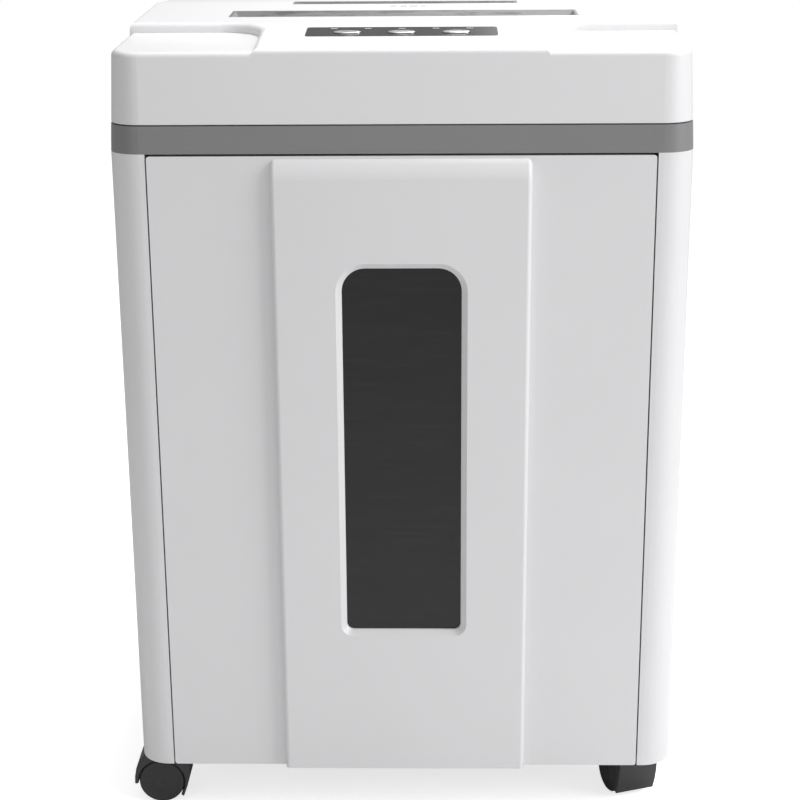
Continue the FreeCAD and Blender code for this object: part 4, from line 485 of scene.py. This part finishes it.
def makePane(v):
    # smoked clear sheet, with faint wiping streaks across it
    made, tree, shader = newMaterial("smokedPane")
    where = addNode(tree, "TexCoord").outputs["Object"]
    across = addNode(tree, "Mapping")
    across.inputs["Scale"].default_value = v["streakStretch"]
    tree.links.new(where, across.inputs["Vector"])
    streak = stretch(tree, noise(tree, across.outputs["Vector"], v["streakScale"], 4), *v["streakRange"])
    smear = stretch(tree, streak, 0, 1, v["rough"], v["rough"] + v["streaks"])
    tint = maths(tree, "MULTIPLY", streak, v["streakTint"])
    tone = mixColours(tree, tint, v["colour"], v["streakColour"])
    tree.links.new(smear, shader.inputs["Roughness"])
    tree.links.new(tone, shader.inputs["Base Color"])
    shader.inputs["Transmission Weight"].default_value = v["transmission"]
    shader.inputs["IOR"].default_value = v["index"]
    return made


finishes = {name: makePlastic(name, values) for name, values in plasticSet.items()}
finishes.update({name: makeMetal(name, values) for name, values in metalSet.items()})
finishes["throatPlastic"] = makeThroat(throatSet)
finishes["smokedPane"] = makePane(paneSet)

# the record's finish of each CAD node, and the material that shows it
slotFinish = {
    "white_shell": "whiteShell", "white_sheet": "whiteSheet", "grey_board": "greyBoard",
    "grey_casing": "greyBand", "smoked_pane": "smokedPane", "dark_plastic": "darkPlastic",
    "throat_plastic": "throatPlastic", "fascia_gloss": "fasciaGloss", "silver_cap": "silverCap",
    "light_guide": "lightGuide", "circuit_board": "circuitMask", "zinc_steel": "zincSteel",
    "hard_steel": "hardSteel", "bronze": "bronze", "slick_nylon": "nylon", "magnet": "ferrite",
    "motor_paint": "motorPaint", "laminations": "laminations", "rocker_plastic": "rockerPlastic",
    "castor_plastic": "castorPlastic", "castor_tread": "castorTread",
}

nodeSlot = {part["node"]: part["material_slot"] for part in frame["record"]["subparts"]}
for nodeName, cadNode in frame["nodes"].items():
    paint = finishes[slotFinish[nodeSlot[nodeName]]]
    if not cadNode.material_slots:
        cadNode.data.materials.append(paint)
    for holder in cadNode.material_slots:
        holder.material = paint
print("finishes:", len(finishes), "on", len(nodeSlot), "nodes")


# pieces that the CAD holds only in outline

mergeWithin = 0.00001
sharpFrom = math.radians(35)
upright = Matrix.Identity(4)
acrossTurn = Matrix.Rotation(math.radians(90), 4, "X")


def keepPiece(name, bm, paint, body, place):
    bmesh.ops.transform(bm, matrix=place, verts=bm.verts)
    bmesh.ops.remove_doubles(bm, verts=bm.verts, dist=mergeWithin)
    bmesh.ops.recalc_face_normals(bm, faces=bm.faces)
    mesh = bpy.data.meshes.new(name)
    bm.to_mesh(mesh)
    bm.free()
    mesh.materials.append(finishes[paint])
    mesh.shade_smooth()
    mesh.set_sharp_from_angle(angle=sharpFrom)
    piece = bpy.data.objects.new(name, mesh)
    scene.collection.objects.link(piece)
    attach(piece, body)
    return piece


castorSet = {
    # side view about the axle: forward and up, from the front lip over the top to the rear skirt
    "hood": ((20.4, -2), (20.2, 4), (18.9, 11), (16.4, 17), (13, 21.2), (4, 22.4), (-10, 22.4),
             (-20.4, 21.6), (-22, 14), (-21.2, 5), (-19.2, -4), (-16.2, -12.4)),
    "roomRadius": 17.8,
    "hoodHalf": 15.6,
    "hoodBevel": 1.2,
    "webHalf": 2.6,
    "webRadius": 14.5,
    "stemRadius": 5,
    "stemFoot": 18,
    "stemTop": 4,        # how far the stem goes into the cabinet's floor
    "collarRadius": 9,
    "collarFoot": 20,
    "collarGap": 0.4,
    # half a wheel's section: along the axle from the middle, and out from it
    "wheel": ((3.8, 0.1), (3.8, 15.8), (4.8, 16.9), (9.2, 17), (9.6, 16.6), (10, 17), (14.2, 16.9),
              (15.1, 16.1), (15.4, 14.8), (15.0, 14.1), (15.0, 8.6), (15.3, 8), (15.4, 3.4), (15.0, 3),
              (14.8, 0.1)),
    "wheelSteps": 56,
}


def millimetres(*parts):
    return Vector(parts) * 0.001


def castorHood(v):
    bm = bmesh.new()
    half = v["hoodHalf"]
    outer = [bm.verts.new(millimetres(ahead, -half, up)) for ahead, up in v["hood"]]
    for first, second in zip(outer, outer[1:]):
        bm.edges.new((first, second))
    ends = [math.atan2(up, ahead) for ahead, up in (v["hood"][0], v["hood"][-1])]
    room = v["roomRadius"]
    start = bm.verts.new(millimetres(room * math.cos(ends[0]), -half, room * math.sin(ends[0])))
    sweep = ends[1] - ends[0] + 2 * math.pi
    bmesh.ops.spin(bm, geom=[start], cent=(0, 0, 0), axis=(0, -1, 0), angle=sweep, steps=len(outer) - 1)
    bmesh.ops.bridge_loops(bm, edges=bm.edges[:])
    swept = bmesh.ops.extrude_face_region(bm, geom=bm.faces[:])
    moved = [part for part in swept["geom"] if isinstance(part, bmesh.types.BMVert)]
    bmesh.ops.translate(bm, verts=moved, vec=millimetres(0, half * 2, 0))
    bmesh.ops.recalc_face_normals(bm, faces=bm.faces)
    steep = math.radians(50)
    rims = [edge for edge in bm.edges if not edge.is_boundary and edge.calc_face_angle(0) > steep]
    bmesh.ops.bevel(bm, geom=rims, offset=v["hoodBevel"] * 0.001, affect="EDGES", segments=3, profile=0.5,
                    material=-1, clamp_overlap=True)
    return bm


def addDisc(bm, radius, low, high, place, along):
    # a short bevelled drum between two heights along an axis
    made = bmesh.ops.create_cone(bm, cap_ends=True, segments=40, radius1=radius * 0.001,
                                 radius2=radius * 0.001, depth=(high - low) * 0.001)
    shift = Matrix.Translation(millimetres(0, 0, (low + high) / 2))
    bmesh.ops.transform(bm, matrix=place @ along @ shift, verts=made["verts"])
    edges = list({edge for vert in made["verts"] for edge in vert.link_edges
                  if edge.calc_face_angle(0) > math.radians(60)})
    bmesh.ops.bevel(bm, geom=edges, offset=0.0005, affect="EDGES", segments=2, profile=0.5, material=-1)


def castorWheels(v):
    bm = bmesh.new()
    for side in (-1, 1):
        rim = [bm.verts.new(millimetres(0, side * along, out)) for along, out in v["wheel"]]
        section = [bm.edges.new(pair) for pair in zip(rim, rim[1:])]
        bmesh.ops.spin(bm, geom=rim + section, cent=(0, 0, 0), axis=(0, 1, 0), angle=2 * math.pi,
                       steps=v["wheelSteps"], use_merge=True)
    holes = [edge for edge in bm.edges if edge.is_boundary]
    bmesh.ops.holes_fill(bm, edges=holes, sides=v["wheelSteps"] + 2)
    return bm


for joint in frame["joints"]:
    if not joint["name"].startswith("roll_"):
        continue
    corner = joint["name"][5:]
    axle = Vector(joint["pos_m"])
    swivel = next(j for j in frame["joints"] if j["name"] == "swivel_" + corner)
    stem = Vector(swivel["pos_m"])
    heading = math.atan2(axle.y - stem.y, axle.x - stem.x)
    trail = -(axle - stem).to_2d().length * 1000
    floorTop = (stem.z - axle.z) * 1000
    place = Matrix.Translation(axle) @ Matrix.Rotation(heading, 4, "Z")
    hoodMesh = castorHood(castorSet)
    webHalf = castorSet["webHalf"]
    addDisc(hoodMesh, castorSet["webRadius"], -webHalf, webHalf, upright, acrossTurn)
    stemPlace = Matrix.Translation(millimetres(trail, 0, 0))
    collarTop = floorTop - castorSet["collarGap"]
    addDisc(hoodMesh, castorSet["collarRadius"], castorSet["collarFoot"], collarTop, stemPlace, upright)
    stemTop = floorTop + castorSet["stemTop"]
    addDisc(hoodMesh, castorSet["stemRadius"], castorSet["stemFoot"], stemTop, stemPlace, upright)
    hood = keepPiece("castorHood_" + corner, hoodMesh, "castorPlastic", "castor_" + corner,
                     place)
    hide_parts("castor_hood_" + corner)
    wheels = keepPiece("castorWheels_" + corner, castorWheels(castorSet), "castorTread",
                       "wheels_" + corner, place)
    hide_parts("castor_wheels_" + corner)
print("castors are dressed")


capSet = {
    "sides": 64,
    "skirt": 1.6,       # how deep the cap reaches into its well
    "rim": 0.0006,      # the roll of its edge, outside the flat top
    # share of the outline and depth below the crown, from the rim to the middle
    "crown": ((1.0, 0.75), (0.985, 0.52), (0.94, 0.34), (0.82, 0.17), (0.6, 0.06), (0.3, 0.01)),
    "stemRadius": 1.8,
}


def topOf(node, normal):
    # middle, width and depth of the highest face along a normal, and the node's foot below it
    along = Vector((1, 0, 0)).cross(normal)
    points = [vert.co for vert in node.data.vertices]
    level = max(point.dot(normal) for point in points)
    face = [point for point in points if level - point.dot(normal) < 0.00002]
    foot = level - min(point.dot(normal) for point in points)
    middle = sum(face, Vector()) / len(face)
    width = max(point.x for point in face) - min(point.x for point in face)
    reach = [point.dot(along) for point in face]
    return middle, width, max(reach) - min(reach), foot


def buttonCap(v, halfWidth, halfDepth, foot):
    bm = bmesh.new()
    bmesh.ops.create_circle(bm, cap_ends=True, segments=v["sides"], radius=1)
    bmesh.ops.scale(bm, vec=(halfWidth, halfDepth, 1), verts=bm.verts)
    bmesh.ops.translate(bm, vec=millimetres(0, 0, -v["skirt"]), verts=bm.verts)
    share, level = 1.0, -v["skirt"]
    face = bm.faces[:]
    for nextShare, drop in v["crown"]:
        grown = bmesh.ops.extrude_face_region(bm, geom=face)["geom"]
        verts = [part for part in grown if isinstance(part, bmesh.types.BMVert)]
        face = [part for part in grown if isinstance(part, bmesh.types.BMFace)]
        bmesh.ops.scale(bm, vec=(nextShare / share, nextShare / share, 1), verts=verts)
        bmesh.ops.translate(bm, vec=millimetres(0, 0, -drop - level), verts=verts)
        share, level = nextShare, -drop
    bmesh.ops.poke(bm, faces=face)
    addDisc(bm, v["stemRadius"], -foot * 1000, -v["skirt"], upright, upright)
    return bm


for side in ("left", "middle", "right"):
    press = next(j for j in frame["joints"] if j["name"] == "press_" + side)
    normal = -Vector(press["axis"])
    crownAt, width, depth, foot = topOf(frame["nodes"]["button_" + side], normal)
    lean = Matrix.Rotation(math.atan2(-normal.y, normal.z), 4, "X")
    rim = capSet["rim"]
    capMesh = buttonCap(capSet, width / 2 + rim, depth / 2 + rim, foot)
    cap = keepPiece("buttonCap_" + side, capMesh, "silverCap", "button_" + side,
                    Matrix.Translation(crownAt) @ lean)
    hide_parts("button_" + side)
print("buttons are capped")


iconSet = {
    "y": 0.035,
    # x, corners, half width, half depth and line width of each printed mark, in millimetres
    "marks": ((-8.5, 40, 2.1, 2.1, 0.5), (-1.0, 4, 1.9, 2.6, 0.45), (6.5, 4, 2.9, 1.8, 0.45),
              (14.0, 3, 2.4, 2.4, 0.5)),
    "thick": 0.06,
    "clear": 0.04,
}


def deckIcons(v, ground):
    # small open outlines printed on the deck: a disc, a sheet, a card and a plain triangle
    bm = bmesh.new()
    for x, corners, halfWidth, halfDepth, line in v["marks"]:
        made = bmesh.ops.create_circle(bm, cap_ends=True, segments=corners, radius=1)
        verts = made["verts"]
        # a four-cornered mark is turned square on, and its half sizes reach its sides
        turned = Matrix.Rotation(math.pi / 4 if corners == 4 else 0, 4, "Z")
        reach = math.sqrt(2) if corners == 4 else 1
        bmesh.ops.transform(bm, matrix=turned, verts=verts)
        bmesh.ops.scale(bm, vec=millimetres(halfWidth * reach, halfDepth * reach, 1), verts=verts)
        spot, normal = ground(x * 0.001, v["y"])
        lean = Vector((0, 0, 1)).rotation_difference(normal).to_matrix().to_4x4()
        raised = Matrix.Translation(spot + normal * v["clear"] * 0.001)
        bmesh.ops.transform(bm, matrix=raised @ lean, verts=verts)
        face = [part for part in bm.faces if all(vert in verts for vert in part.verts)]
        bmesh.ops.inset_region(bm, faces=face, thickness=line * 0.001, use_boundary=True,
                               use_even_offset=True)
        bmesh.ops.delete(bm, geom=face, context="FACES_ONLY")
    bmesh.ops.solidify(bm, geom=bm.faces[:], thickness=-v["thick"] * 0.001)
    return bm


coverMesh = frame["nodes"]["top_cover"].data
coverTree = BVHTree.FromPolygons([vert.co for vert in coverMesh.vertices],
                                 [face.vertices for face in coverMesh.polygons])


def onCover(x, y):
    # where a line straight down meets the deck, and which way the deck faces there
    return coverTree.ray_cast(Vector((x, y, 1)), Vector((0, 0, -1)))[:2]


keepPiece("deckIcons", deckIcons(iconSet, onCover), "iconInk", "cabinet", upright)
print("marks are printed on the deck")
